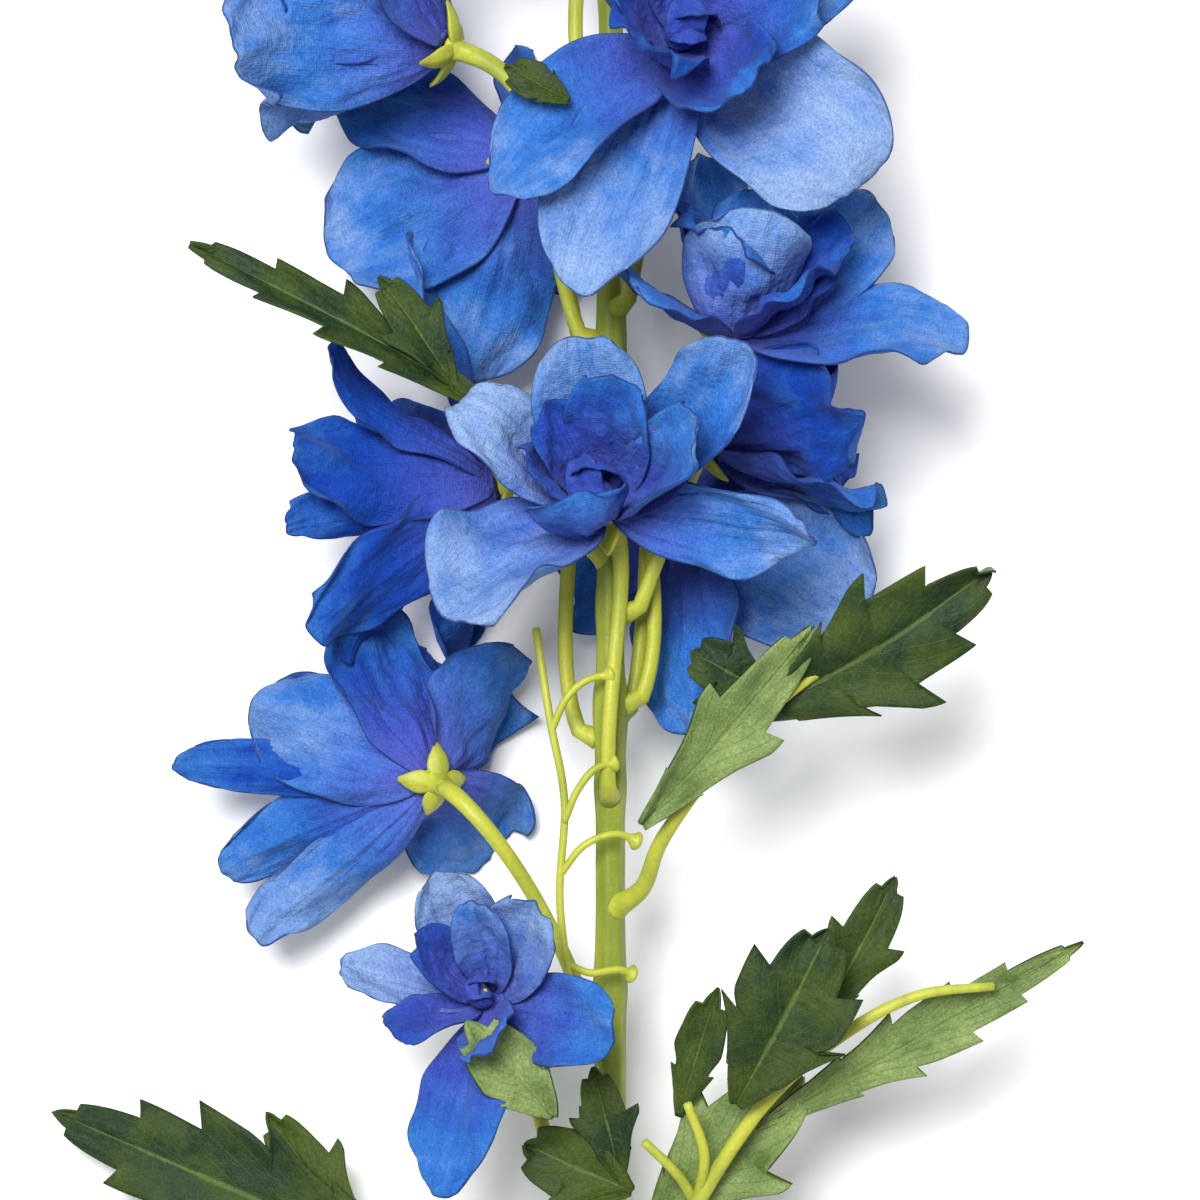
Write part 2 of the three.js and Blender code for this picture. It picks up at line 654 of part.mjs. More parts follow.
// ribPath: the moulded stalk and midrib that carries the blade, from the stem outwards;
// spurs: short side stalks moulded on it.
const leaves = [
  {
    name: 'leaf_right',
    ribPath: [
      [5.5, 164, 34], [9, 173, 42], [19, 187, 47], [30, 198, 49], [40, 205, 48],
    ],
    lobes: [
      lobe([24, 194, 46], [66, 220.5, 50], 4, 27, [0.25, -0.35, 0.9], 14, 5),
      lobe([5.5, 176, 46.5], [35, 210.5, 53], -3, 17, [-0.2, 0.2, -0.95], -12, 3),
      lobe([27, 199, 48.5], [14, 206, 50.5], 2, 15, [-0.1, 0.1, 0.98], 10, 3),
    ],
  },
  {
    name: 'leaf_lower_right',
    ribPath: [
      [5.5, 88, 22], [12, 103, 33.5], [28, 128, 40], [42, 140, 42], [54, 146, 42], [67, 147.5, 41],
    ],
    spurs: [
      [[15.5, 110, 35.5], [16.5, 118, 39.5], [13.5, 127, 41]],
      [[15, 109, 35], [12, 114, 37.5], [6, 120, 38.5]],
    ],
    lobes: [
      lobe([26, 122, 33.5], [83, 155, 37], -3, 13, [0.15, 0.2, -0.95], -8, 6),
      lobe([22, 127, 43.5], [38, 158, 50], 3, 26, [-0.1, -0.2, 0.97], 14, 4),
      lobe([37, 141, 37], [50, 166.5, 39], 2, 14, [0.1, 0, 1], 10, 3),
      lobe([7, 104, 28], [34, 131, 34], -2, 24, [0.1, -0.1, -0.98], -8, 3),
      lobe([12, 124, 34.5], [19, 147, 38], 1, 11, [-0.2, -0.1, 0.97], 8, 2),
    ],
  },
  {
    name: 'leaf_lower_left',
    ribPath: [
      [-5, 74, 18], [-16, 86, 20], [-40, 101, 15], [-66, 110, 9],
    ],
    lobes: [
      lobe([-31, 94, 18.5], [-101, 122, 6], 5, 26, [-0.1, 0.1, 1], 10, 6),
      lobe([-44, 99, 17], [-62, 122, 10], 2, 15, [0, 0, 1], 8, 3),
    ],
  },
  {
    name: 'leaf_upper_left',
    ribPath: [[-5.2, 226, 34.5], [-14, 240, 42], [-24, 249.5, 45], [-44, 260.5, 46]],
    lobes: [
      lobe([-20, 247.5, 46.5], [-73, 276.5, 48], 4, 15, [0.35, 0.45, 0.8], 12, 5),
      lobe([-27, 252, 47], [-40, 271, 50], 2, 12, [0.2, 0.2, 0.95], 8, 3),
    ],
  },
  {
    name: 'leaf_lower_centre',
    ribPath: [[3, 96, 28.5], [3, 104, 31], [-1, 112, 33], [-6, 116, 33]],
    lobes: [
      lobe([4, 111, 34.4], [-15, 119, 33], 2, 20, [0, -0.1, 1], 8, 3),
      lobe([2, 113, 34.6], [-3, 133, 37], 2, 12, [0, -0.1, 1], 8, 3),
    ],
  },
];

const lobeColumns = [-1, 0, 1];

function bladeSolid(leaf, swell) {
  const sheets = leaf.lobes.map((shape) => {
    const count = shape.teeth * 2;
    const rows = Array.from({ length: count + 1 }, (unused, k) => k / count);
    rows[count] += swell / usualLobe.long;
    const columns = lobeColumns.map((across) => across * (1 + swell / usualLobe.halfWidth));
    return sheetSolid(rows, columns, lobePoint(shape, leafThickness), leafThickness, swell);
  });
  return joined(sheets);
}

function addLeaf(leaf) {
  const through = (path) => new THREE.CatmullRomCurve3(path.map((point) => vec(...point)));
  const curve = through(leaf.ribPath);
  const spurs = (leaf.spurs || []).map(through);
  const rib = (swell) => joined([
    barSolid(curve, ribRadius + swell, ribRadius * 0.5 + swell, 8, 6),
    ...spurs.map((spur) => barSolid(spur, spurRadius + swell, spurRadius + swell, 3, 5)),
  ]);
  place(`${leaf.name}_rib`, rib(0), rib(clearance), 'stalk');
  place(`${leaf.name}_blade`, bladeSolid(leaf, 0), bladeSolid(leaf, clearance), 'leaf');
}

// ---- Small green pieces -------------------------------------------------------------------

const smallLeaves = [
  { name: 'leaflet_upper', lobes: [lobe([-7, 300, 62], [-18, 306, 63], 1, 9, [0, 0.2, 1], 10, 2)] },
  { name: 'bract_lowest', lobes: [lobe([-10, 125, 46], [-25, 142, 49], 3, 14, [0.4, -0.3, 0.85], 18, 2)] },
];

function addSmallLeaf(leaf) {
  place(leaf.name, bladeSolid(leaf, 0), bladeSolid(leaf, clearance), 'leaf');
}

// Thin moulded runner in front of the stem, with short curls that end on the stem's side.
const runnerRadius = 0.7;
const runnerPath = [
  [-13, 210, 37], [-10.5, 194, 39], [-8, 180, 38.5], [-8.8, 162, 37.5], [-6.5, 146, 36],
];
const curlPaths = [
  [[-10.3, 192, 39], [-7.5, 198, 39.5], [-4, 201, 39], [0.5, 202, 38.2]],
  [[-8.1, 176, 38.5], [-5.5, 182, 39.5], [-2.5, 185.5, 39.5], [1, 186.5, 38]],
  [[-8.6, 167, 37.8], [-4.5, 172, 38.5], [1, 174, 38], [5, 172.5, 36]],
  [[-7.4, 151, 36.6], [-3.5, 149.5, 36.5], [1.5, 150, 35.6], [4, 149, 33.8]],
];

function runnerSolid(swell) {
  const bars = [runnerPath, ...curlPaths].map((path, k) => {
    const curve = new THREE.CatmullRomCurve3(path.map((point) => vec(...point)));
    return barSolid(curve, runnerRadius + swell, runnerRadius + swell, k === 0 ? 9 : 5, 5);
  });
  return joined(bars);
}

addMainStem();
leaves.forEach((leaf) => addLeaf(leaf));
blooms.forEach(addBloomStalk);
buds.forEach(addBud);
blooms.forEach(addBloomPetals);
smallLeaves.forEach(addSmallLeaf);
place('runner', runnerSolid(0), runnerSolid(clearance), 'stalk');

// The origin is the middle of the underside of the whole spike.
const whole = new THREE.Box3().setFromObject(spike);
const middle = whole.getCenter(new THREE.Vector3());
spike.position.set(-middle.x, -middle.y, -whole.min.z);

export default spike;
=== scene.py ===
# Blue delphinium spike, an artificial flower of fabric and moulded plastic, laid on a pale floor
import math
import bpy
import numpy as np
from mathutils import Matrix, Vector


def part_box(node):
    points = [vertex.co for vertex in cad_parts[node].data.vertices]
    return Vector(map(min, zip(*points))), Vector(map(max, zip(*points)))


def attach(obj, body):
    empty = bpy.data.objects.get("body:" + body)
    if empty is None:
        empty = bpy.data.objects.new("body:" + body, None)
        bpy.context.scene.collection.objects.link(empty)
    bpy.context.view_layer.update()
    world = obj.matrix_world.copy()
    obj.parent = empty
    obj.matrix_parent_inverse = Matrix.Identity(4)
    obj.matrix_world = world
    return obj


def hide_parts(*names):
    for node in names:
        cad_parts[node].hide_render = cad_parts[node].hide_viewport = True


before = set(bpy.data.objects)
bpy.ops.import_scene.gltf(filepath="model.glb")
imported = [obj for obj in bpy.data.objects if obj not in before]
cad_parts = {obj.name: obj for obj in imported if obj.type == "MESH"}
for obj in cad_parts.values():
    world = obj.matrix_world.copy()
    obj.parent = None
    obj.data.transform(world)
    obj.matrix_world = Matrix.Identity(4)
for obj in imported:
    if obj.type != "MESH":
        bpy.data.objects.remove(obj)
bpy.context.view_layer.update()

mm = 0.001
rng = np.random.default_rng(5)
detail = 1.0  # share of the full mesh rows and columns

# every place is measured from the middle of the stem's cut end, and its height from the surface
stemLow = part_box("main_stem")[0]
stemCorners = [v.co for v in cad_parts["main_stem"].data.vertices]
cutCorners = [c for c in stemCorners if c.y < stemLow[1] + 3 * mm]
cutEnd = sum((Vector(c) for c in cutCorners), Vector()) / len(cutCorners)
print("frame loaded, cut end at", [round(c, 4) for c in cutEnd])


# takes one point, a line of points or a whole grid
def place(points):
    return np.array([cutEnd.x, cutEnd.y, 0]) + np.asarray(points, dtype=float) * mm


# gathering meshes

# one piece is built from several sheets and tubes, then written to a mesh in one go
class Gather:
    def __init__(self):
        self.points, self.faces, self.slots, self.map, self.fields = [], [], [], [], {}
        self.count = 0

    def add(self, points, faces, uv, slots=0, **fields):
        points = np.asarray(points, dtype=float)
        self.points.append(points)
        self.faces.append(np.asarray(faces, dtype=np.int64) + self.count)
        self.slots.append(np.broadcast_to(slots, len(faces)))
        self.map.append(np.asarray(uv, dtype=float))
        for key in ("rimDistance", "petalTone", "petalHue"):
            value = np.broadcast_to(fields.get(key, 0.5), len(points))
            self.fields.setdefault(key, []).append(value)
        self.count += len(points)

    def finish(self, name, node, materials):
        points = np.concatenate(self.points)
        faces = np.concatenate(self.faces)
        mesh = bpy.data.meshes.new(name)
        mesh.vertices.add(len(points))
        mesh.vertices.foreach_set("co", points.ravel())
        mesh.loops.add(faces.size)
        mesh.loops.foreach_set("vertex_index", faces.ravel())
        mesh.polygons.add(len(faces))
        mesh.polygons.foreach_set("loop_start", np.arange(0, faces.size, 4))
        mesh.update(calc_edges=True)
        for material in materials:
            mesh.materials.append(material)
        mesh.polygons.foreach_set("material_index", np.concatenate(self.slots))
        mesh.polygons.foreach_set("use_smooth", np.ones(len(faces), dtype=bool))
        layer = mesh.uv_layers.new(name="petalMap")
        layer.data.foreach_set("uv", np.concatenate(self.map)[faces.ravel()].ravel())
        for key, values in self.fields.items():
            field = mesh.attributes.new(key, "FLOAT", "POINT")
            field.data.foreach_set("value", np.concatenate(values).astype(np.float32))
        mesh.validate()
        mesh.update()
        piece = bpy.data.objects.new(name, mesh)
        bpy.context.scene.collection.objects.link(piece)
        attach(piece, "root")
        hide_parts(node)
        return piece


def unit(vectors):
    return vectors / np.maximum(np.linalg.norm(vectors, axis=-1, keepdims=True), 1e-12)


# quads of a closed thin sheet: upper side, under side and the rim between them
def sheetFaces(rows, columns):
    i, j = np.meshgrid(np.arange(rows - 1), np.arange(columns - 1), indexing="ij")
    a = (i * columns + j).ravel()
    half = rows * columns
    upper = np.stack([a, a + columns, a + columns + 1, a + 1], axis=1)
    under = upper[:, ::-1] + half
    left = np.arange(rows - 1) * columns
    right = left + columns - 1
    first = np.arange(columns - 1)
    last = first + half - columns
    rim = np.concatenate([
        np.stack([left, left + half, left + half + columns, left + columns], axis=1),
        np.stack([right, right + columns, right + half + columns, right + half], axis=1),
        np.stack([first, first + 1, first + half + 1, first + half], axis=1),
        np.stack([last, last + half, last + half + 1, last + 1], axis=1),
    ])
    return np.concatenate([upper, under, rim]), len(upper)


# thickens a grid of points (rows, columns, 3) and adds it to a gathered piece
def addSheet(gather, grid, uv, thick, upperSlot=0, underSlot=0, **fields):
    rows, columns = grid.shape[:2]
    along = np.gradient(grid, axis=0)
    over = np.gradient(grid, axis=1)
    normal = unit(np.cross(along, over))
    half = normal * thick / 2
    both = np.concatenate([(grid + half).reshape(-1, 3), (grid - half).reshape(-1, 3)])
    faces, upperCount = sheetFaces(rows, columns)
    slots = np.full(len(faces), upperSlot)
    slots[upperCount:upperCount * 2] = underSlot
    doubled = {key: np.concatenate([np.ravel(value)] * 2) if np.ndim(value) else value
               for key, value in fields.items()}
    gather.add(both, faces, np.concatenate([uv.reshape(-1, 2)] * 2), slots, **doubled)


# shares of the radius: how wide a bar's last ring is, and how far it and the tip stand out
tubeEnd = {"ring": 0.6, "ringOut": 0.22, "tipOut": 0.26}


# a round bar through given points; radii and ridges change along and around it
def addTube(gather, points, radii, sides, slots=0, ridges=0, ridgeDepth=0.0):
    points = np.asarray(points)
    count = len(points)
    tangents = unit(np.gradient(points, axis=0))
    normal = np.cross(tangents[0], [0.0, 0.0, 1.0])
    if np.linalg.norm(normal) < 0.1:
        normal = np.cross(tangents[0], [1.0, 0.0, 0.0])
    normals = [normal / np.linalg.norm(normal)]
    for k in range(1, count):
        turned = normals[-1] - tangents[k] * np.dot(normals[-1], tangents[k])
        normals.append(turned / np.linalg.norm(turned))
    normals = np.array(normals)
    binormals = np.cross(tangents, normals)
    angles = np.linspace(0, 2 * math.pi, sides, endpoint=False)
    radii = np.broadcast_to(radii, count)[:, None]
    shaped = radii * (1 + ridgeDepth * np.cos(ridges * angles)[None, :])
    ring = (points[:, None, :] + shaped[..., None] * (np.cos(angles)[None, :, None] * normals[:, None, :]
            + np.sin(angles)[None, :, None] * binormals[:, None, :]))
    i, j = np.meshgrid(np.arange(count - 1), np.arange(sides), indexing="ij")
    a = (i * sides + j).ravel()
    b = (i * sides + (j + 1) % sides).ravel()
    faces = np.stack([a, b, b + sides, a + sides], axis=1)
    # rounded ends close on a short extra ring and a middle corner
    flat = ring.reshape(-1, 3)
    start = count * sides
    extra, capFaces = [], []
    for end, sign in ((0, -1), (count - 1, 1)):
        outward = tangents[end] * sign * radii[end]
        extra.append(points[end] + (ring[end] - points[end]) * tubeEnd["ring"] + outward * tubeEnd["ringOut"])
        extra.append((points[end] + outward * tubeEnd["tipOut"])[None, :])
        base = start + (0 if end == 0 else sides + 1)
        for k in range(sides):
            n = (k + 1) % sides
            outer, outerNext = end * sides + k, end * sides + n
            quads = [(outer, outerNext, base + n, base + k)]
            if k % 2 == 0:
                quads.append((base + k, base + n, base + (k + 2) % sides, base + sides))
            capFaces.extend([q if sign > 0 else q[::-1] for q in quads])
    flat = np.concatenate([flat] + extra)
    run = np.concatenate([[0], np.cumsum(np.linalg.norm(np.diff(points, axis=0), axis=1))])
    uv = np.zeros((len(flat), 2))
    uv[:start, 0] = np.tile(angles / (2 * math.pi), count)
    uv[:start, 1] = np.repeat(run / mm / 10, sides)
    uv[start:, 1] = np.repeat([0, run[-1] / mm / 10], sides + 1)
    gather.add(flat, np.concatenate([faces, np.array(capFaces)]), uv, slots)


# curves

# a smooth line through marks, evened out by the distance between them
def smoothLine(marks, count):
    marks = [np.asarray(m, dtype=float) for m in marks]
    spread = [marks[0] * 2 - marks[1]] + marks + [marks[-1] * 2 - marks[-2]]
    line = []
    for t in np.linspace(0, len(marks) - 1, count):
        k = min(int(t), len(marks) - 2)
        w = t - k
        p0, p1, p2, p3 = spread[k:k + 4]
        d0, d1, d2 = (np.dot(b - a, b - a) ** 0.25 for a, b in ((p0, p1), (p1, p2), (p2, p3)))
        t1 = ((p1 - p0) / d0 - (p2 - p0) / (d0 + d1) + (p2 - p1) / d1) * d1
        t2 = ((p2 - p1) / d1 - (p3 - p1) / (d1 + d2) + (p3 - p2) / d2) * d1
        square = -3 * p1 + 3 * p2 - 2 * t1 - t2
        cube = 2 * p1 - 2 * p2 + t1 + t2
        line.append(p1 + t1 * w + square * w * w + cube * w ** 3)
    return np.array(line)


stem = {
    "length": 446, "radius": 3.4, "tipRadius": 1.5, "carryHeight": 32,
    "ridges": 7, "ridgeDepth": 0.035,
}

stemMarks = [
    (0, 0, stem["radius"]),
    (0, stem["length"] * 0.25, stem["carryHeight"] * 0.72),
    (0, stem["length"] * 0.45, stem["carryHeight"]),
    (0, stem["length"] * 0.75, stem["carryHeight"]),
    (-2, stem["length"], stem["carryHeight"] * 0.8),
]
stemLine = smoothLine(stemMarks, 240)


def stemPointAt(along):
    return np.array([np.interp(along, stemLine[:, 1], stemLine[:, axis]) for axis in range(3)])


# materials

# a material's nodes, with short ways to add and join them
class NodeTree:
    def __init__(self, name):
        self.material = bpy.data.materials.new(name)
        self.material.use_nodes = True
        self.nodes = self.material.node_tree.nodes
        self.join = self.material.node_tree.links.new
        self.shader = self.nodes["Principled BSDF"]

    def node(self, kind, **settings):
        made = self.nodes.new(kind)
        for key, value in settings.items():
            setattr(made, key, value)
        return made

    # another node's output, a plain number or a colour goes into a socket
    def feed(self, source, socket):
        if hasattr(source, "is_linked"):
            self.join(source, socket)
        else:
            socket.default_value = (*source, 1) if socket.type == "RGBA" else source

    def where(self):
        return self.node("ShaderNodeTexCoord").outputs["Object"]

    def field(self, name):
        return self.node("ShaderNodeAttribute", attribute_name=name).outputs["Fac"]

    # how far across and along a petal or a lobe
    def petalMap(self):
        uv = self.node("ShaderNodeUVMap", uv_map="petalMap").outputs[0]
        split = self.node("ShaderNodeSeparateXYZ")
        self.join(uv, split.inputs[0])
        return split.outputs[0], split.outputs[1]

    def noise(self, where, scale, octaves, roughness):
        made = self.node("ShaderNodeTexNoise")
        for name, value in (("Scale", scale), ("Detail", octaves), ("Roughness", roughness)):
            made.inputs[name].default_value = value
        self.join(where, made.inputs["Vector"])
        return made.outputs["Fac"]

    def ramp(self, source, stops):
        made = self.node("ShaderNodeValToRGB")
        self.join(source, made.inputs[0])
        while len(made.color_ramp.elements) < len(stops):
            made.color_ramp.elements.new(0.5)
        for element, (at, colour) in zip(made.color_ramp.elements, stops):
            element.position = at
            element.color = (*colour, 1)
        return made.outputs[0]

    def mix(self, factor, first, second, how="MIX"):
        made = self.node("ShaderNodeMix", data_type="RGBA", blend_type=how)
        for source, slot in ((factor, 0), (first, 6), (second, 7)):
            self.feed(source, made.inputs[slot])
        return made.outputs[2]

    def maths(self, how, first, second=0.0):
        made = self.node("ShaderNodeMath", operation=how)
        self.feed(first, made.inputs[0])
        self.feed(second, made.inputs[1])
        return made.outputs[0]

    def plus(self, first, second):
        return self.maths("ADD", first, second)

    def minus(self, first, second):
        return self.maths("SUBTRACT", first, second)

    def times(self, first, second):
        return self.maths("MULTIPLY", first, second)

    def bump(self, height, strength, distance):
        made = self.node("ShaderNodeBump")
        made.inputs["Strength"].default_value = strength
        made.inputs["Distance"].default_value = distance
        self.join(height, made.inputs["Height"])
        self.join(made.outputs[0], self.shader.inputs["Normal"])


def grey(value):
    return (value, value, value)


petalLook = {
    "foot": (0.085, 0.092, 0.430), "deep": (0.002, 0.040, 0.290), "middle": (0.026, 0.132, 0.430),
    "pale": (0.200, 0.300, 0.520), "rim": (0.010, 0.015, 0.140), "teal": (0.030, 0.150, 0.240),
    "threadSize": 0.28, "napSize": 0.45, "wrinkleSize": 1.9, "blotchSize": 2.6, "mottleSize": 9.0,
    "mapWidth": 26, "nap": 0.6, "bump": 0.00024,
    "specular": 0.18, "sheen": 0.06, "sheenTint": (0.62, 0.74, 1.0, 1),
}


# pressed polyester: violet at the foot, blue body, pale outer part, dark cut edge and a fine nap
def petalFabric(name, look, lighter):
    tree = NodeTree(name)
    shader, where = tree.shader, tree.where()
    across, along = tree.petalMap()
    tone, hue, rim = (tree.field(key) for key in ("petalTone", "petalHue", "rimDistance"))

    mottle = tree.noise(where, 1000 / look["mottleSize"], 3.0, 0.55)
    blotch = tree.noise(where, 1000 / look["blotchSize"], 3.0, 0.6)
    # dye runs: noise drawn out along the petal
    stretch = tree.node("ShaderNodeCombineXYZ")
    for socket, source, amount in ((0, across, 9.0), (1, along, 2.2), (2, hue, 37.0)):
        tree.join(tree.times(source, amount), stretch.inputs[socket])
    runs = tree.noise(stretch.outputs[0], 1.0, 4.0, 0.6)

    # how pale this spot is: grows outward, shifted by the mottling, the runs, the petal's tone (set low on
    # blooms in shade as painted shade) and the material's shift (darker on inner and core petals as painted
    # shade)
    fromMottle, fromRuns, fromBlotch, fromTone = (
        tree.times(tree.minus(source, 0.5), share)
        for source, share in ((mottle, 0.85), (runs, 0.40), (blotch, 0.26), (tone, 1.1)))
    pale = tree.times(along, 0.62)
    for shift in (fromMottle, fromRuns, fromBlotch, fromTone, lighter):
        pale = tree.plus(pale, shift)
    body = tree.ramp(pale, [(0.0, look["deep"]), (0.42, look["middle"]), (0.95, look["pale"])])

    # violet foot
    footShare = tree.plus(along, tree.times(fromRuns, 0.35))
    footMask = tree.ramp(footShare, [(0.02, grey(0.75)), (0.24, grey(0.35)), (0.5, grey(0.0))])
    body = tree.mix(footMask, body, look["foot"])

    # veins fan out from the foot
    fan = tree.maths("SINE", tree.plus(tree.times(across, 62.0), tree.times(runs, 1.6)))
    vein = tree.ramp(fan, [(0.62, grey(0.0)), (1.0, grey(0.09))])
    body = tree.mix(vein, body, look["deep"])

    # dyed cut edge, with a trace of teal just inside it
    tealMask = tree.ramp(rim, [(0.0, grey(0.40)), (0.10, grey(0.10)), (0.3, grey(0.0))])
    body = tree.mix(tree.times(tealMask, mottle), body, look["teal"])
    edgeMask = tree.ramp(rim, [(0.0, grey(0.75)), (0.012, grey(0.5)), (0.03, grey(0.0))])
    body = tree.mix(edgeMask, body, look["rim"])

    # nap of short fibres over a plain weave
    nap = tree.noise(where, 1000 / look["napSize"], 2.0, 0.7)
    napTone = tree.ramp(nap, [(0.28, grey(0.66)), (0.72, grey(1.34))])
    body = tree.mix(0.85, body, napTone, "MULTIPLY")
    tree.join(body, shader.inputs["Base Color"])

    threads = 2 * math.pi * look["mapWidth"] / look["threadSize"]
    warp = tree.maths("SINE", tree.times(across, threads / 2))
    weft = tree.maths("SINE", tree.times(along, threads))
    height = tree.plus(tree.times(tree.plus(warp, weft), 0.12), nap)
    height = tree.minus(height, tree.times(vein, 2.5))
    wrinkle = tree.noise(where, 1000 / look["wrinkleSize"], 2.0, 0.5)
    height = tree.plus(height, tree.times(wrinkle, 5.0))
    tree.bump(height, look["nap"], look["bump"])

    tree.join(tree.ramp(mottle, [(0.3, grey(0.74)), (0.7, grey(0.9))]), shader.inputs["Roughness"])
    shader.inputs["Specular IOR Level"].default_value = look["specular"]
    shader.inputs["Sheen Weight"].default_value = look["sheen"]
    shader.inputs["Sheen Roughness"].default_value = 0.45
    shader.inputs["Sheen Tint"].default_value = look["sheenTint"]
    return tree.material


plasticLook = {
    "bright": (0.420, 0.440, 0.040), "green": (0.180, 0.235, 0.020), "brown": (0.200, 0.120, 0.035),
    "streakScale": (260, 26, 260), "cloudScale": 70.0, "speckScale": 1400.0, "bump": 0.0002, "specular": 0.42,
}


# moulded plastic: yellow-green with greener streaks along it and a soft gloss
def greenPlastic(name, look, greener):
    tree = NodeTree(name)
    shader, where = tree.shader, tree.where()
    hue = tree.field("petalHue")
    squeeze = tree.node("ShaderNodeMapping")
    squeeze.inputs["Scale"].default_value = look["streakScale"]
    tree.join(where, squeeze.inputs["Vector"])
    streak = tree.noise(squeeze.outputs[0], 1.0, 4.0, 0.6)
    cloud = tree.noise(where, look["cloudScale"], 3.0, 0.5)
    speck = tree.noise(where, look["speckScale"], 2.0, 0.6)
    amount = tree.plus(tree.plus(tree.times(streak, 0.75), tree.times(cloud, 0.6)), greener)
    body = tree.ramp(amount, [(0.46, look["bright"]), (0.86, look["green"])])
    brownMask = tree.ramp(hue, [(0.7, grey(0.0)), (1.0, grey(0.75))])
    body = tree.mix(brownMask, body, look["brown"])
    fine = tree.ramp(speck, [(0.3, grey(0.86)), (0.7, grey(1.08))])
    tree.join(tree.mix(0.6, body, fine, "MULTIPLY"), shader.inputs["Base Color"])
    tree.join(tree.ramp(cloud, [(0.3, grey(0.40)), (0.7, grey(0.58))]), shader.inputs["Roughness"])
    tree.bump(tree.plus(streak, speck), 0.5, look["bump"])
    shader.inputs["Specular IOR Level"].default_value = look["specular"]
    return tree.material


leafLook = {
    "front": (0.008, 0.027, 0.007), "warm": (0.046, 0.072, 0.006), "veins": (0.140, 0.200, 0.045),
    "back": (0.085, 0.140, 0.035), "backPale": (0.210, 0.280, 0.090),
    "cloudScale": 95.0, "fleckSize": 0.5, "netScale": 420.0, "bump": 0.00025, "specular": 0.25,
}
veinSlant = {"along": 7.0, "across": 3.1}  # side veins leave a leaf's middle line at a slant


# printed cloth leaf: vein print fans from the middle line; the back is pale and mottled
def leafCloth(name, look, isBack):
    tree = NodeTree(name)
    shader, where = tree.shader, tree.where()
    across, along = tree.petalMap()
    cloud = tree.noise(where, look["cloudScale"], 4.0, 0.55)
    fleck = tree.noise(where, 1000 / look["fleckSize"], 2.0, 0.7)
    side = tree.maths("ABSOLUTE", across)
    slant = tree.minus(tree.times(along, veinSlant["along"]), tree.times(side, veinSlant["across"]))
    slant = tree.plus(slant, tree.times(cloud, 0.35))
    wave = tree.maths("ABSOLUTE", tree.minus(tree.maths("FRACT", slant), 0.5))
    sideVein = tree.ramp(wave, [(0.0, grey(0.75)), (0.045, grey(0.0))])
    middle = tree.ramp(side, [(0.0, grey(1.0)), (0.03, grey(0.85)), (0.07, grey(0.0))])
    net = tree.node("ShaderNodeTexVoronoi", feature="DISTANCE_TO_EDGE")
    net.inputs["Scale"].default_value = look["netScale"]
    tree.join(where, net.inputs["Vector"])
    netVein = tree.ramp(net.outputs["Distance"], [(0.0, grey(0.22)), (0.06, grey(0.0))])
    veins = tree.maths("MAXIMUM", sideVein, tree.maths("MAXIMUM", middle, netVein))
    if isBack:
        body = tree.ramp(cloud, [(0.35, look["back"]), (0.65, look["backPale"])])
        body = tree.mix(tree.times(veins, 0.55), body, look["veins"])
    else:
        fromTone = tree.times(tree.minus(tree.field("petalTone"), 0.5), 0.35)
        body = tree.ramp(tree.plus(cloud, fromTone), [(0.36, look["front"]), (0.68, look["warm"])])
        body = tree.mix(tree.times(veins, 0.42), body, look["veins"])
    fleckTone = tree.ramp(fleck, [(0.3, grey(0.66)), (0.7, grey(1.35))])
    tree.join(tree.mix(0.8, body, fleckTone, "MULTIPLY"), shader.inputs["Base Color"])
    tree.bump(tree.minus(fleck, tree.times(veins, 1.2)), 0.6, look["bump"])
    tree.join(tree.ramp(cloud, [(0.3, grey(0.52)), (0.7, grey(0.70))]), shader.inputs["Roughness"])
    shader.inputs["Specular IOR Level"].default_value = look["specular"]
    return tree.material


# the inner and core petals get a darker shift than the outer ones: painted shade for the hollow middle of
# each bloom
outerFabric = petalFabric("outerPetalFabric", petalLook, 0.06)
innerShadedFabric = petalFabric("innerPetalFabricPaintedShade", petalLook, -0.12)
coreShadedFabric = petalFabric("corePetalFabricPaintedShade", petalLook, -0.30)
stemPlastic = greenPlastic("mainStemPlastic", plasticLook, 0.14)
stalkPlastic = greenPlastic("stalkPlastic", plasticLook, -0.16)
leafFront = leafCloth("leafFrontPrint", leafLook, False)
leafBack = leafCloth("leafBackPrint", leafLook, True)
print("materials made")


# petals

fabric = {
    "thick": 0.34, "layerTilt": 15, "hubRadius": 3.1, "pressBand": 2.5, "cadThick": 0.7, "stackGap": 0.45,
    "claw": 0.22, "shoulder": 0.62, "pullBack": 0.115, "bays": 0.022,
    "groove": 1.15, "grooveWide": 0.065, "sideGrooveWide": 0.055,
    "sideGrooves": (-0.78, -0.58, -0.40, -0.22, 0.20, 0.38, 0.60, 0.80),
    "crumples": ((0.072, 5.5, 3.1), (0.020, 12, 7), (0.0065, 27, 17)),
    "rimWave": 0.085, "tipWave": 0.05, "flare": 0.09,
}
# the softer cloth of most petals on the blooms that face down
loose = {"ruffle": 1.4, "flare": 1.3, "crumple": 1.5}


# turn: round the bloom's axis; long, wide: flat size in mm; lean: how far the foot stands up;
# curl: extra lean at the tip; cup: how far the sides roll up; twist, sway: turn and drift of the tip;
# the rest shape and colour the cloth: ruffle of the rim, roll of the tip, tone (set low as painted shade on
# blooms that lie in shade), crease depth, how blunt the tip is, how far the rim turns outward and how
# crumpled the whole petal is
def petal(turn, long, wide, lean, curl, cup, twist=0, sway=0, ruffle=1.0, roll=0, tone=0.5, crease=1.0,
          blunt=0.62, flare=1.0, crumple=1.0):
    return {"turn": turn, "long": long, "wide": wide, "lean": lean, "curl": curl, "cup": cup, "twist": twist,
            "sway": sway, "ruffle": ruffle, "roll": roll, "tone": tone, "crease": crease, "blunt": blunt,
            "flare": flare, "crumple": crumple}


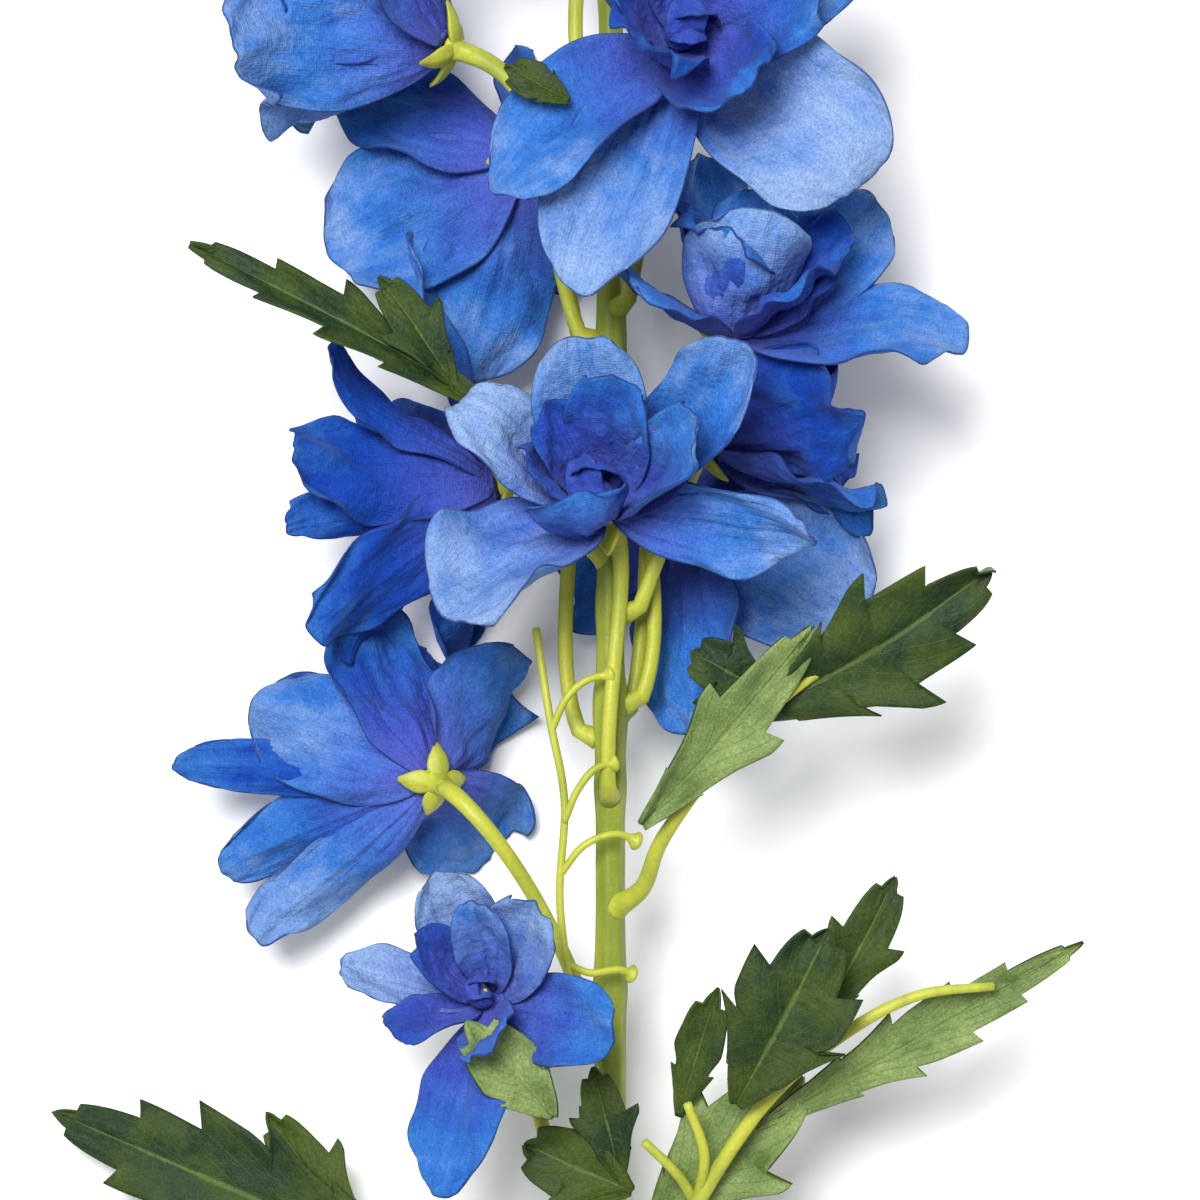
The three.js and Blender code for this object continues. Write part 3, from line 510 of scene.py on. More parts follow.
# a full round of petals, evenly turned, every second one a little shorter and more upright
def petalRound(count, firstTurn, long, wide, lean, curl, cup, tone=0.5):
    made = []
    for k in range(count):
        odd = k % 2
        jitter = rng.uniform(-1, 1, 6)
        made.append(petal((firstTurn + 360 / count * k + 6 * jitter[0]) % 360,
                          long * (1 - 0.07 * odd + 0.04 * jitter[1]), wide * (1 + 0.08 * jitter[2]),
                          lean + 5 * odd + 5 * jitter[3], curl, cup + 14 * jitter[4], ruffle=1.5,
                          roll=-30 + 45 * odd + 25 * jitter[5], tone=tone + 0.08 * odd + 0.12 * jitter[4],
                          flare=1.4, crumple=1.5))
    return made


# half-width along a petal as a share of the widest: narrow claw, broad upper part, blunt tip
def petalOutline(share, blunt):
    reached = np.clip(share, 0, 1)
    opening = np.clip(reached / fabric["shoulder"], 0, 1)
    claw = fabric["claw"] + (1 - fabric["claw"]) * opening ** 0.85 * (1.9 - 0.9 * opening)
    closing = np.clip((reached - fabric["shoulder"]) / (1 - fabric["shoulder"]), 0, 1)
    return np.minimum(claw, 1.0) * (1 - (1 - blunt) * closing ** 2.1)


def pressed(height, floor):
    band = fabric["pressBand"]
    over = height - floor
    eased = floor + (over + band) ** 2 / (4 * band)
    return np.where(over > band, height, np.where(over < -band, floor, eased))


# soft noise over a petal: a few crossed waves with random phases
def softWaves(u, v, sizeU, sizeV, count=4):
    total = np.zeros_like(u)
    for k in range(count):
        phase = rng.uniform(0, 2 * math.pi, 2)
        turn = rng.uniform(-0.7, 0.7)
        along = np.sin(u * sizeU * (0.7 + 0.5 * k) + turn * v * sizeV + phase[0])
        across = np.cos(v * sizeV * (0.6 + 0.4 * k) + phase[1])
        total += along * across / (1 + 0.6 * k)
    return total / 1.6


# turns a shape round the bloom's axis and sets it on the bloom's foot
def setRound(outward, sideways, height, turn, turnTo, footAt):
    turn = math.radians(turn)
    local = np.stack([outward * math.cos(turn) - sideways * math.sin(turn),
                      outward * math.sin(turn) + sideways * math.cos(turn), height], axis=-1)
    return local @ turnTo.T + footAt


def petalGrid(shape, foot, turnTo, footAt, rows, columns):
    u, v = np.meshgrid(np.linspace(0, 1, rows), np.linspace(-1, 1, columns), indexing="ij")
    long, wide, ruffle = shape["long"], shape["wide"], shape["ruffle"]
    fromFoot = np.linspace(0, 1, rows)
    angles = np.radians(shape["lean"] + shape["curl"] * fromFoot
                        + shape["roll"] * np.clip((fromFoot - 0.6) / 0.4, 0, 1) ** 1.6)
    step = long / (rows - 1)
    out = np.concatenate([[0], np.cumsum((np.cos(angles[1:]) + np.cos(angles[:-1])) / 2)]) * step
    up = np.concatenate([[0], np.cumsum((np.sin(angles[1:]) + np.sin(angles[:-1])) / 2)]) * step

    halfWidth = wide / 2 * petalOutline(u, shape["blunt"]) * (1 + 0.030 * softWaves(u, v * 0, 9, 1))
    # the tip is pulled back at its corners so that its outline is round, with shallow bays in it
    pull = -long * fabric["pullBack"] * np.abs(v) ** 2 * u ** 3
    pull += long * fabric["bays"] * u ** 5 * softWaves(u * 0, v, 1, 4.5)

    # the sides roll up least at the foot and the tip, and most just past the middle
    cup = math.radians(max(shape["cup"], 1)) * (0.75 + 0.45 * np.sin(math.pi * np.clip(u, 0, 1) ** 1.2))
    side = halfWidth / cup * np.sin(cup * v)
    lift = halfWidth / cup * (1 - np.cos(cup * v))

    # pressed creases: a groove down the middle, finer ones beside it, and a random unevenness
    crease = shape["crease"] * np.clip(u * 5, 0, 1)
    lift -= fabric["groove"] * crease * np.exp(-(v / fabric["grooveWide"]) ** 2) * (1 - 0.75 * u)
    for at in fabric["sideGrooves"]:
        drift = (at + rng.uniform(-0.05, 0.05)) * (0.70 + 0.40 * u) + 0.04 * np.sin(u * 6 + shape["turn"])
        deep = rng.uniform(0.35, 0.95) * np.clip(rng.uniform(0.8, 1.3) - u, 0, 1)
        lift -= deep * crease * np.exp(-((v - drift) / fabric["sideGrooveWide"]) ** 2)
    free = np.clip(u * 2.2, 0, 1)
    for deep, sizeU, sizeV in fabric["crumples"]:
        lift += shape["crumple"] * wide * deep * softWaves(u, v, sizeU, sizeV) * free
    # the rim waves up and down, most near the tip, and turns outward a little
    nearRim = np.clip((np.abs(v) - 0.3) / 0.7, 0, 1) ** 1.8
    nearTip = np.clip((u - 0.65) / 0.35, 0, 1) ** 1.6
    waving = fabric["rimWave"] * nearRim * free + fabric["tipWave"] * nearTip
    lift += ruffle * wide * waving * softWaves(u + 0.25 * v, v, 8, 2.6)
    lift -= wide * fabric["flare"] * shape["flare"] * (nearRim ** 1.5 * free)

    twist = np.radians(fabric["layerTilt"] + shape["twist"] * u)
    sideways = side * np.cos(twist) - lift * np.sin(twist) + shape["sway"] * u ** 2
    raised = side * np.sin(twist) + lift * np.cos(twist)
    spine = angles[:, None]
    radius = foot[0] + out[:, None] + pull * np.cos(spine) - raised * np.sin(spine)
    height = foot[1] + up[:, None] + pull * np.sin(spine) + raised * np.cos(spine)
    world = setRound(radius, sideways, height, shape["turn"], turnTo, footAt)
    world[..., 2] = pressed(world[..., 2], fabric["cadThick"] / 2)
    rim = np.minimum((1 - np.abs(v)) * halfWidth, (1 - u) * long * 0.8) / 10
    return world, u, v, rim


def addPetal(gather, shape, foot, turnTo, footAt, rows=32, columns=35):
    rows, columns = int(rows * detail), int(columns * detail)
    grid, u, v, rim = petalGrid(shape, foot, turnTo, footAt, rows, columns)
    points = place(grid)
    uv = np.stack([v * shape["wide"] / 52 + 0.5, u * shape["long"] / 45], axis=-1)
    hue = rng.uniform(0, 1)
    addSheet(gather, points, uv, fabric["thick"] * mm, rimDistance=rim, petalTone=shape["tone"], petalHue=hue)


# the round web that joins the petals of one die-cut layer
def addWeb(gather, radius, height, turnTo, footAt):
    angles = np.linspace(0, 2 * math.pi, 25)
    radii = np.array([0.3, 0.55, 0.8, 1.0]) * radius
    local = np.stack([radii[:, None] * np.cos(angles), radii[:, None] * np.sin(angles),
                      np.full((4, 25), height) + 0.25 * (radii[:, None] / radius) ** 2], axis=-1)
    world = local @ turnTo.T + footAt
    points = place(world)
    uv = np.zeros((4, 25, 2))
    addSheet(gather, points, uv, fabric["thick"] * mm, rimDistance=0.5, petalTone=0.3, petalHue=0.5)


# blooms

blooms = [
    {
        "name": "bloom_centre", "foot": (-1, 231, 45), "face": (-0.26, 0.48, 0.84), "root": 182,
        "sepals": (3, 7, -15),
        "outer": [
            petal(20, 40, 25, 26, 18, 74, 16, 6, roll=25, tone=0.5),
            petal(88, 31, 23, 50, 12, 46, roll=-18, tone=0.7, crumple=0.8),
            petal(152, 32, 20, 44, 20, 44, -12, 0, roll=-95, tone=0.95, flare=1.8),
            petal(224, 34, 33, 8, 20, 46, 0, 1, ruffle=0.6, roll=-18, tone=0.78, flare=0.4),
            petal(344, 38, 17, 2, 2, 30, 58, 1, ruffle=2.6, roll=-20, tone=0.62, flare=0.3),
        ],
        "inner": [
            petal(56, 27, 19, 56, 18, 46, tone=0.45),
            petal(118, 22, 15, 62, 14, 44, tone=0.35),
            petal(186, 20, 16, 58, 26, 50, tone=0.4),
            petal(268, 22, 23, 26, 86, 56, ruffle=0.5, tone=0.68, crumple=0.6, flare=0.3),
            petal(356, 32, 21, 34, 26, 82, 8, 3, roll=20, tone=0.66),
        ],
        "core": (15, 12),
    },
    {
        "name": "bloom_upper_right", "foot": (12, 311, 52), "face": (0.12, 0.25, 0.96), "root": 268,
        "sepals": (3, 7, -15),
        "outer": [
            petal(36, 38, 30, 26, 10, 40, tone=0.55, ruffle=1.3),
            petal(118, 38, 30, 28, 12, 40, tone=0.55, ruffle=1.3),
            petal(216, 41, 25, 6, -8, 50, 10, 3, ruffle=0.7, roll=-15, tone=0.5, flare=0.6),
            petal(247, 46, 26, 2, -12, 40, ruffle=0.7, tone=0.62, flare=0.8),
            petal(322, 40, 34, 10, 6, 50, 0, -2, ruffle=0.9, roll=-45, tone=0.85),
        ],
        "inner": [
            petal(10, 29, 24, 34, 28, 60, tone=0.55),
            petal(84, 27, 23, 42, 28, 50, tone=0.4),
            petal(150, 27, 23, 40, 28, 50, tone=0.4),
            petal(224, 26, 23, 46, 40, 52, tone=0.3),
            petal(298, 28, 26, 34, 44, 60, roll=-30, tone=0.45),
        ],
        "core": (16, 12),
    },
    {
        "name": "bloom_upper_left", "foot": (-29, 312, 40), "face": (-0.86, 0.32, -0.18), "root": 262,
        "sepals": (4, 8, 8),
        "outer": petalRound(5, 18, 39, 29, 42, 14, 34),
        "inner": petalRound(5, 54, 30, 22, 62, 10, 40),
    },
    {
        "name": "bloom_back_left", "foot": (-16, 294, 22), "face": (-0.45, -0.2, -0.86), "root": 258,
        "sepals": (3, 6, 5),
        "outer": [
            petal(20, 37, 30, 24, 8, 24, tone=0.55, **loose),
            petal(78, 36, 25, 26, 10, 26, tone=0.4, **loose),
            petal(176, 32, 26, 30, 16, 30, tone=0.4, **loose),
            petal(258, 32, 26, 30, 16, 30, tone=0.4, **loose),
            petal(328, 40, 27, 20, 8, 22, tone=0.5, **loose),
        ],
        "inner": petalRound(4, 30, 22, 20, 52, 20, 44),
    },
    {
        "name": "bloom_right", "foot": (22, 261, 42), "face": (0.2, 0.86, 0.44), "root": 214,
        "sepals": (3, 6, 0),
        "outer": [
            petal(36, 35, 25, 34, 14, 34),
            petal(112, 32, 26, 44, 14, 36),
            petal(190, 27, 24, 20, 10, 30),
            petal(258, 28, 29, 62, 34, 62, ruffle=0.5, tone=0.8, flare=0.3),
            petal(340, 39, 26, 18, 4, 44, tone=0.5, roll=-25),
        ],
        "inner": petalRound(5, 10, 25, 20, 56, 12, 46),
    },
    {
        "name": "bloom_left", "foot": (-20, 236, 26), "face": (-0.84, -0.06, -0.22), "root": 192,
        "sepals": (3, 6, 5),
        # the low tones on these petals are painted shade: this bloom lies on its side in shade
        "outer": [
            petal(94, 46, 26, 12, 16, 44, tone=0.40, ruffle=1.4, roll=-25, crumple=1.4),
            petal(22, 39, 24, 54, 10, 62, tone=0.08, ruffle=1.4, roll=-40, crumple=1.4, flare=1.6),
            petal(308, 42, 23, 40, 22, 50, tone=0.14, ruffle=1.5, roll=-30, crumple=1.4, flare=1.4),
            petal(240, 44, 24, 20, 12, 46, tone=0.20, ruffle=1.4, roll=-30, crumple=1.4),
            petal(166, 39, 25, 44, 10, 44, tone=0.12, ruffle=1.2, crumple=1.2),
        ],
        "inner": [
            petal(60, 38, 15, 40, 8, 60, tone=0.10, ruffle=2.0, roll=-50, crumple=1.3),
            petal(350, 38, 13, 62, 8, 66, tone=0.35, ruffle=1.6, roll=-40),
            petal(282, 40, 13, 46, 8, 56, tone=0.15, ruffle=1.8, roll=-40),
            petal(204, 32, 17, 56, 8, 46, tone=0.0),
            petal(132, 34, 16, 54, 8, 46, tone=0.0),
        ],
    },
    {
        "name": "bloom_right_back", "foot": (18, 242, 28), "face": (0.78, 0.34, -0.14), "root": 198,
        "sepals": (3, 6, 5),
        # the low tones of this bloom are painted shade: it lies behind and under its neighbours
        "outer": petalRound(5, 62, 34, 27, 38, 14, 42, tone=0.25),
        "inner": petalRound(5, 26, 26, 20, 62, 8, 42, tone=0.1),
    },
    {
        "name": "bloom_lower_back", "foot": (12, 230, 17), "face": (0.36, -0.52, -0.72), "root": 196,
        "sepals": (3, 5, 5),
        "outer": [
            petal(30, 32, 25, 26, 12, 30, tone=0.4, **loose),
            petal(95, 38, 29, 20, 8, 26, tone=0.7, **loose),
            petal(156, 38, 25, 20, 8, 26, tone=0.4, **loose),
            petal(232, 30, 24, 26, 12, 30, tone=0.4, **loose),
            petal(318, 28, 24, 26, 12, 30, tone=0.4, **loose),
        ],
        "inner": petalRound(4, 60, 20, 18, 52, 20, 44),
    },
    {
        "name": "bloom_lower_left", "foot": (-31.5, 183, 24), "face": (-0.42, 0.24, -0.82), "root": 146,
        "sepals": (4, 6, 12),
        "outer": [
            petal(15, 34, 23, 34, 10, 44, tone=0.30, **loose),
            petal(86, 29, 29, 22, 14, 44, tone=0.55, **loose),
            petal(168, 29, 27, 24, 8, 36, tone=0.60, ruffle=1.2, flare=1.3, crumple=1.5),
            petal(248, 42, 17, 18, 6, 64, 20, 3, tone=0.62, ruffle=1.8, roll=-35, crumple=1.4),
            petal(322, 34, 27, 30, 14, 56, tone=0.62, ruffle=1.3, flare=1.2, crumple=1.5),
        ],
        "inner": [
            petal(272, 40, 16, 26, 4, 56, -10, -2, tone=0.60, ruffle=1.5, roll=-20, crumple=1.2),
            petal(300, 45, 12, 34, -6, 50, 10, 0, tone=0.35, ruffle=1.6, roll=-20),
            petal(50, 26, 22, 44, 14, 46, tone=0.2),
            petal(130, 25, 20, 46, 14, 46, tone=0.2),
        ],
    },
    {
        "name": "bloom_lowest", "foot": (-21, 144, 39), "face": (-0.3, 0.45, 0.84), "root": 92,
        "sepals": (3, 5, -10),
        "outer": [
            petal(40, 24, 16, 44, 14, 34, tone=0.9),
            petal(105, 26, 16, 48, 10, 36, tone=1.0),
            petal(170, 26, 13, 24, 8, 40, tone=1.05),
            petal(258, 33, 19, 2, -14, 26, tone=0.4),
            petal(340, 27, 18, 12, 8, 34, tone=0.45),
        ],
        "inner": [
            petal(72, 22, 12, 62, 6, 44, tone=0.9),
            petal(142, 19, 12, 56, 14, 44, tone=0.4),
            petal(212, 19, 12, 34, 10, 40, tone=0.4),
            petal(292, 19, 15, 34, 20, 48, tone=0.7),
        ],
        "core": (9, 6.5),
    },
    {
        "name": "bloom_top_left", "foot": (-12, 348, 42), "face": (-0.62, 0.42, 0.6), "root": 304,
        "sepals": (3, 6, -5),
        "outer": petalRound(5, 20, 31, 24, 30, 12, 34),
        "inner": petalRound(5, 56, 23, 18, 54, 14, 42),
    },
    {
        "name": "bloom_top_right", "foot": (11, 362, 30), "face": (0.72, 0.46, 0.12), "root": 322,
        "sepals": (3, 5, 0),
        "outer": petalRound(5, 50, 27, 21, 36, 12, 36),
        "inner": petalRound(4, 14, 20, 16, 60, 10, 42),
    },
    {
        "name": "bloom_top", "foot": (-6, 389, 36), "face": (-0.36, 0.62, 0.68), "root": 352,
        "sepals": (3, 5, 0),
        "outer": petalRound(5, 34, 22, 18, 46, 14, 40),
        "inner": petalRound(4, 70, 17, 14, 64, 10, 44),
    },
]

calyx = {
    "stalkRadius": 1.3, "radius": 2.7, "height": 5, "sepalWide": 3.3, "sepalThick": 0.7, "sepalBend": 40,
    "standOff": 1.1, "swing": {"outward": 0.16, "along": 0.42, "intoBloom": 0.34},
    "cupHeights": (-6.0, -5.4, -4.8, -4.0, -3.0, -2.0, -1.2, -0.9),
    "cupRadii": (1.35, 1.7, 1.75, 1.65, 1.9, 2.35, 2.7, 2.75),
}


# how a bloom or bud is turned, its axis and its foot
def bloomFrame(flower):
    axis = Vector(flower["face"]).normalized()
    turnTo = Vector((0, 0, 1)).rotation_difference(axis).to_matrix()
    return np.array(turnTo), np.array(axis), np.array(flower["foot"], dtype=float)


innerHeight = fabric["cadThick"] + fabric["stackGap"]
coreHeight = innerHeight * 2


def buildLayer(bloom, petals, height, name, node, material):
    turnTo, _, footAt = bloomFrame(bloom)
    gather = Gather()
    addWeb(gather, fabric["hubRadius"], height, turnTo, footAt)
    for shape in petals:
        addPetal(gather, shape, (fabric["hubRadius"] * 0.6, height), turnTo, footAt)
    return gather.finish(name, node, [material])


# rolled petals in the middle, each inside the one before, round six small plastic stamens
def buildCore(bloom):
    turnTo, _, footAt = bloomFrame(bloom)
    long, wide = bloom["core"]
    gather = Gather()
    for k in range(4):
        shape = petal(85 + 118 * k, long * (1 - 0.05 * k), wide * (1.15 - 0.10 * k), 50 + 6 * k, 104, 74,
                      ruffle=0.2, tone=0.5 - 0.1 * k, crease=0.5, crumple=0.5, flare=0.1, blunt=0.5)
        addPetal(gather, shape, (1.7 - 0.3 * k, coreHeight), turnTo, footAt, 22, 17)
    for k in range(6):
        angle = math.radians(60 * k)
        foot = np.array([0.7 * math.cos(angle), 0.7 * math.sin(angle), coreHeight])
        top = np.array([1.3 * math.cos(angle), 1.3 * math.sin(angle), coreHeight + long * 0.5])
        line = [place((foot + (top - foot) * t) @ turnTo.T + footAt) for t in np.linspace(0, 1, 6)]
        addTube(gather, line, np.array([0.28, 0.26, 0.26, 0.3, 0.5, 0.36]) * mm, 10, slots=1)
    name = bloom["name"] + "_core"
    return gather.finish(name + "_petals", name, [coreShadedFabric, stalkPlastic])


def bezierLine(p0, p1, p2, p3, count):
    t = np.linspace(0, 1, count)[:, None]
    return (1 - t) ** 3 * p0 + 3 * (1 - t) ** 2 * t * p1 + 3 * (1 - t) * t * t * p2 + t ** 3 * p3


def stalkLine(root, footAt, axis, backOff, count=34):
    rootCentre = stemPointAt(root)
    away = np.array([footAt[0] - rootCentre[0], 0, footAt[2] - rootCentre[2]])
    away = away / np.linalg.norm(away)
    start = rootCentre + away * (stem["radius"] + calyx["stalkRadius"] + calyx["standOff"])
    end = footAt - axis * backOff
    span = np.linalg.norm(end - start)
    swing = calyx["swing"]
    leave = start + away * span * swing["outward"] + np.array([0, span * swing["along"], 0])
    enter = end - axis * span * swing["intoBloom"]
    line = bezierLine(start, leave, enter, end, count)
    # the root runs on into the stem's side
    into = rootCentre + away * (stem["radius"] * 0.7) + np.array([0, -1.6, 0])
    return np.concatenate([[into], [(into + start) / 2], line])


def addSepal(gather, turn, long, lean, turnTo, footAt, slot=0):
    rows, columns = int(16 * detail) + 4, int(9 * detail) + 2
    u, v = np.meshgrid(np.linspace(0, 1, rows), np.linspace(-1, 1, columns), indexing="ij")
    half = calyx["sepalWide"] / 2 * (0.75 + 0.5 * np.sin(math.pi * u ** 0.8)) * (1 - u ** 2.2) ** 0.8 + 0.12
    angle = np.radians(lean + calyx["sepalBend"] * np.linspace(0, 1, rows) ** 1.3)
    step = long / (rows - 1)
    out = np.concatenate([[0], np.cumsum(np.cos(angle[1:]))]) * step
    up = np.concatenate([[0], np.cumsum(np.sin(angle[1:]))]) * step
    side = half * v
    lift = 0.35 * np.abs(v) ** 2 * half - 0.25 * np.exp(-(v / 0.2) ** 2) * (1 - u)
    radius = calyx["radius"] * 0.55 + out[:, None] - lift * np.sin(angle)[:, None]
    height = -calyx["height"] * 0.45 + up[:, None] + lift * np.cos(angle)[:, None]
    world = setRound(radius, side, height, turn, turnTo, footAt)
    world[..., 2] = np.maximum(world[..., 2], 0.3)
    points = place(world)
    addSheet(gather, points, np.stack([v, u], axis=-1), calyx["sepalThick"] * mm, slot, slot,
             petalHue=0.45 + 0.42 * u)


def buildStalk(bloom):
    turnTo, axis, footAt = bloomFrame(bloom)
    gather = Gather()
    line = stalkLine(bloom["root"], footAt, axis, calyx["height"])
    share = np.linspace(0, 1, len(line))
    radii = calyx["stalkRadius"] * (1 + 0.55 * np.exp(-share * 22) + 0.32 * share ** 3)
    addTube(gather, place(line), radii * mm, 18, ridges=3, ridgeDepth=0.04)
    # the cup under the petals, with a swollen ring where it leaves the stalk
    cup = place(footAt + axis * np.array(calyx["cupHeights"])[:, None])
    addTube(gather, cup, np.array(calyx["cupRadii"]) * mm, 24, ridges=5, ridgeDepth=0.05)
    count, long, lean = bloom["sepals"]
    for k in range(count):
        addSepal(gather, 35 + 360 / count * k, long, lean, turnTo, footAt)
    name = bloom["name"] + "_stalk"
    return gather.finish(name + "_moulding", name, [stalkPlastic])


for bloom in blooms:
    name = bloom["name"]
    buildStalk(bloom)
    buildLayer(bloom, bloom["outer"], 0, name + "_outer_cloth", name + "_outer_petals",
               outerFabric)
    buildLayer(bloom, bloom["inner"], innerHeight, name + "_inner_cloth", name + "_inner_petals",
               innerShadedFabric)
    if "core" in bloom:
        buildCore(bloom)
print("blooms made:", len(blooms))


# main stem

def buildStem():
    gather = Gather()
    line = place(stemLine)
    share = np.linspace(0, 1, len(line))
    radii = stem["radius"] + (stem["tipRadius"] - stem["radius"]) * share
    # slight swellings where the stalks leave
    for bloom in blooms:
        radii = radii + 0.35 * np.exp(-((stemLine[:, 1] - bloom["root"]) / 4) ** 2)
    radii = radii + 0.06 * np.sin(share * 90 + 1) * np.sin(share * 37)
    addTube(gather, line, radii * mm, 42, ridges=stem["ridges"], ridgeDepth=stem["ridgeDepth"])
    return gather.finish("stem_moulding", "main_stem", [stemPlastic])


buildStem()


# buds

budMake = {
    "clothThick": 0.3, "usualWide": 8,
    "cupHeights": (-1.2, -0.4, 0.6, 1.8, 3.0), "cupRadii": (0.8, 1.3, 1.75, 2.0, 2.05),
}
buds = [
    {"name": "bud_right", "foot": (11, 396, 31), "face": (0.72, 0.66, 0.2), "root": 372,
     "long": 14, "wide": 8.5},
    {"name": "bud_left", "foot": (-11, 411, 29), "face": (-0.66, 0.74, 0.1), "root": 389,
     "long": 12.5, "wide": 8},
    {"name": "bud_front", "foot": (4, 423, 34), "face": (0.34, 0.86, 0.38), "root": 404,
     "long": 11.5, "wide": 7},
    {"name": "bud_tip", "foot": (-2, 447, 25.2), "face": (-0.1, 0.98, -0.1), "root": 0,
     "long": 12, "wide": 6.5},
]


# five cloth petals folded over one another round a closed bud, on a plastic cup
def buildBud(bud):
    turnTo, axis, footAt = bloomFrame(bud)
    gather = Gather()
    rows, columns = int(22 * detail), int(15 * detail)
    long, wide = bud["long"], bud["wide"]
    u, v = np.meshgrid(np.linspace(0, 1, rows), np.linspace(-1, 1, columns), indexing="ij")
    profile = wide / 2 * (np.sin(math.pi * np.clip(0.12 + 0.85 * u, 0, 1)) ** 0.8)
    for k in range(5):
        turn = math.radians(72 * k) + 0.5 * u
        spread = v * math.radians(52) * (1 - 0.25 * u)
        swell = 1 + 0.05 * v - 0.05 * np.exp(-(v / 0.2) ** 2)
        local = np.stack([profile * swell * np.cos(turn + spread), profile * swell * np.sin(turn + spread),
                          long * (u - 0.03 * v ** 2 * u)], axis=-1)
        points = place(local @ turnTo.T + footAt)
        rim = np.minimum((1 - np.abs(v)) * wide * 0.4, (1 - u) * long) / 10
        addSheet(gather, points, np.stack([v * 0.3 + 0.5, u * 0.5], axis=-1), budMake["clothThick"] * mm,
                 rimDistance=rim, petalTone=0.55, petalHue=0.2 * k)
    cup = place(footAt + axis * np.array(budMake["cupHeights"])[:, None])
    addTube(gather, cup, np.array(budMake["cupRadii"]) * wide / budMake["usualWide"] * mm, 20, slots=1)
    for k in range(3):
        addSepal(gather, 30 + 120 * k, 6 * wide / budMake["usualWide"], 58, turnTo, footAt + axis * 3, slot=1)
    if bud["root"]:
        line = stalkLine(bud["root"], footAt, axis, 0.6)
        addTube(gather, place(line), calyx["stalkRadius"] * 0.8 * mm, 14, slots=1)
    return gather.finish(bud["name"] + "_cloth", bud["name"], [outerFabric, stalkPlastic])


for bud in buds:
    buildBud(bud)
print("stem and buds made")


# leaves

# foot, tip: ends of the middle line; bow: how far it arches; face: the way its upper side looks;
# fold: how far its halves close; teeth: points on each edge
def lobe(foot, tip, bow, wide, face, fold, teeth):
    return {"foot": foot, "tip": tip, "bow": bow, "wide": wide, "face": face, "fold": fold, "teeth": teeth}


leaves = [
    {
        "name": "leaf_right",
        "ribPath": [(5.5, 164, 34), (9, 173, 42), (19, 187, 47), (30, 198, 49), (40, 205, 48)],
        "lobes": [
            lobe((24, 194, 46), (66, 220.5, 50), 4, 27, (0.25, -0.35, 0.9), 14, 5),
            lobe((5.5, 176, 46.5), (35, 210.5, 53), -3, 17, (-0.2, 0.2, -0.95), -12, 3),
            lobe((27, 199, 48.5), (14, 206, 50.5), 2, 15, (-0.1, 0.1, 0.98), 10, 3),
        ],
    },
    {
        "name": "leaf_lower_right",
        "ribPath": [
            (5.5, 88, 22), (12, 103, 33.5), (28, 128, 40), (42, 140, 42), (54, 146, 42), (67, 147.5, 41),
        ],
        "spurs": [
            [(15.5, 110, 35.5), (16.5, 118, 39.5), (13.5, 127, 41)],
            [(15, 109, 35), (12, 114, 37.5), (6, 120, 38.5)],
        ],
        "lobes": [
            lobe((26, 122, 33.5), (83, 155, 37), -3, 13, (0.15, 0.2, -0.95), -8, 6),
            lobe((22, 127, 43.5), (38, 158, 50), 3, 26, (-0.1, -0.2, 0.97), 14, 4),
            lobe((37, 141, 37), (50, 166.5, 39), 2, 14, (0.1, 0, 1), 10, 3),
            lobe((7, 104, 28), (34, 131, 34), -2, 24, (0.1, -0.1, -0.98), -8, 3),
            lobe((12, 124, 34.5), (19, 147, 38), 1, 11, (-0.2, -0.1, 0.97), 8, 2),
        ],
    },
    {
        "name": "leaf_lower_left",
        "ribPath": [(-5, 74, 18), (-16, 86, 20), (-40, 101, 15), (-66, 110, 9)],
        "lobes": [
            lobe((-31, 94, 18.5), (-101, 122, 6), 5, 27, (-0.1, 0.1, 1), 10, 6),
            lobe((-44, 99, 17), (-62, 122, 10), 2, 15, (0, 0, 1), 8, 3),
        ],
    },
    {
        "name": "leaf_upper_left",
        "ribPath": [(-5.2, 226, 34.5), (-14, 240, 42), (-24, 249.5, 45), (-44, 260.5, 46)],
        "lobes": [
            lobe((-20, 247.5, 46.5), (-73, 276.5, 48), 4, 15, (0.35, 0.45, 0.8), 12, 5),
            lobe((-27, 252, 47), (-40, 271, 50), 2, 12, (0.2, 0.2, 0.95), 8, 3),
        ],
    },
    {
        "name": "leaf_lower_centre",
        "ribPath": [(3, 96, 28.5), (3, 104, 31), (-1, 112, 33), (-6, 116, 33)],
        "lobes": [
            lobe((4, 111, 34.4), (-15, 119, 33), 2, 20, (0, -0.1, 1), 8, 3),
            lobe((2, 113, 34.6), (-3, 133, 37), 2, 12, (0, -0.1, 1), 8, 3),
        ],
    },
]

smallLeaves = [
    {"name": "leaflet_upper",
     "lobes": [lobe((-7, 300, 62), (-18, 306, 63), 1, 9, (0, 0.2, 1), 10, 2)]},
    {"name": "bract_lowest",
     "lobes": [lobe((-10, 125, 46), (-25, 142, 49), -3, 16, (-0.4, 0.3, -0.85), -18, 2)]},
]


leafSheet = {
    "thick": 0.4, "lowest": 0.35, "widestAt": 0.5, "toothStart": 0.35, "veinDip": 0.7, "middleDip": 0.3,
}


def toothSaw(u, teeth):
    return (u * teeth + leafSheet["toothStart"]) % 1.0


# half-width of a lobe along its length: wedge foot, deep forward-leaning teeth, drawn-out tip
def lobeHalf(u, teeth, wide):
    widestAt = leafSheet["widestAt"]
    wedge = np.minimum((0.06 + u / widestAt) ** 0.9, 1.0)
    body = np.where(u < widestAt, wedge, np.clip((1 - u) / (1 - widestAt), 0, 1) ** 0.75)
    saw = toothSaw(u, teeth)
    toothed = np.clip((u - 0.12) / 0.25, 0, 1)
    return wide / 2 * body * (1 - toothed * (0.30 - 0.42 * saw ** 1.3)) + 0.05


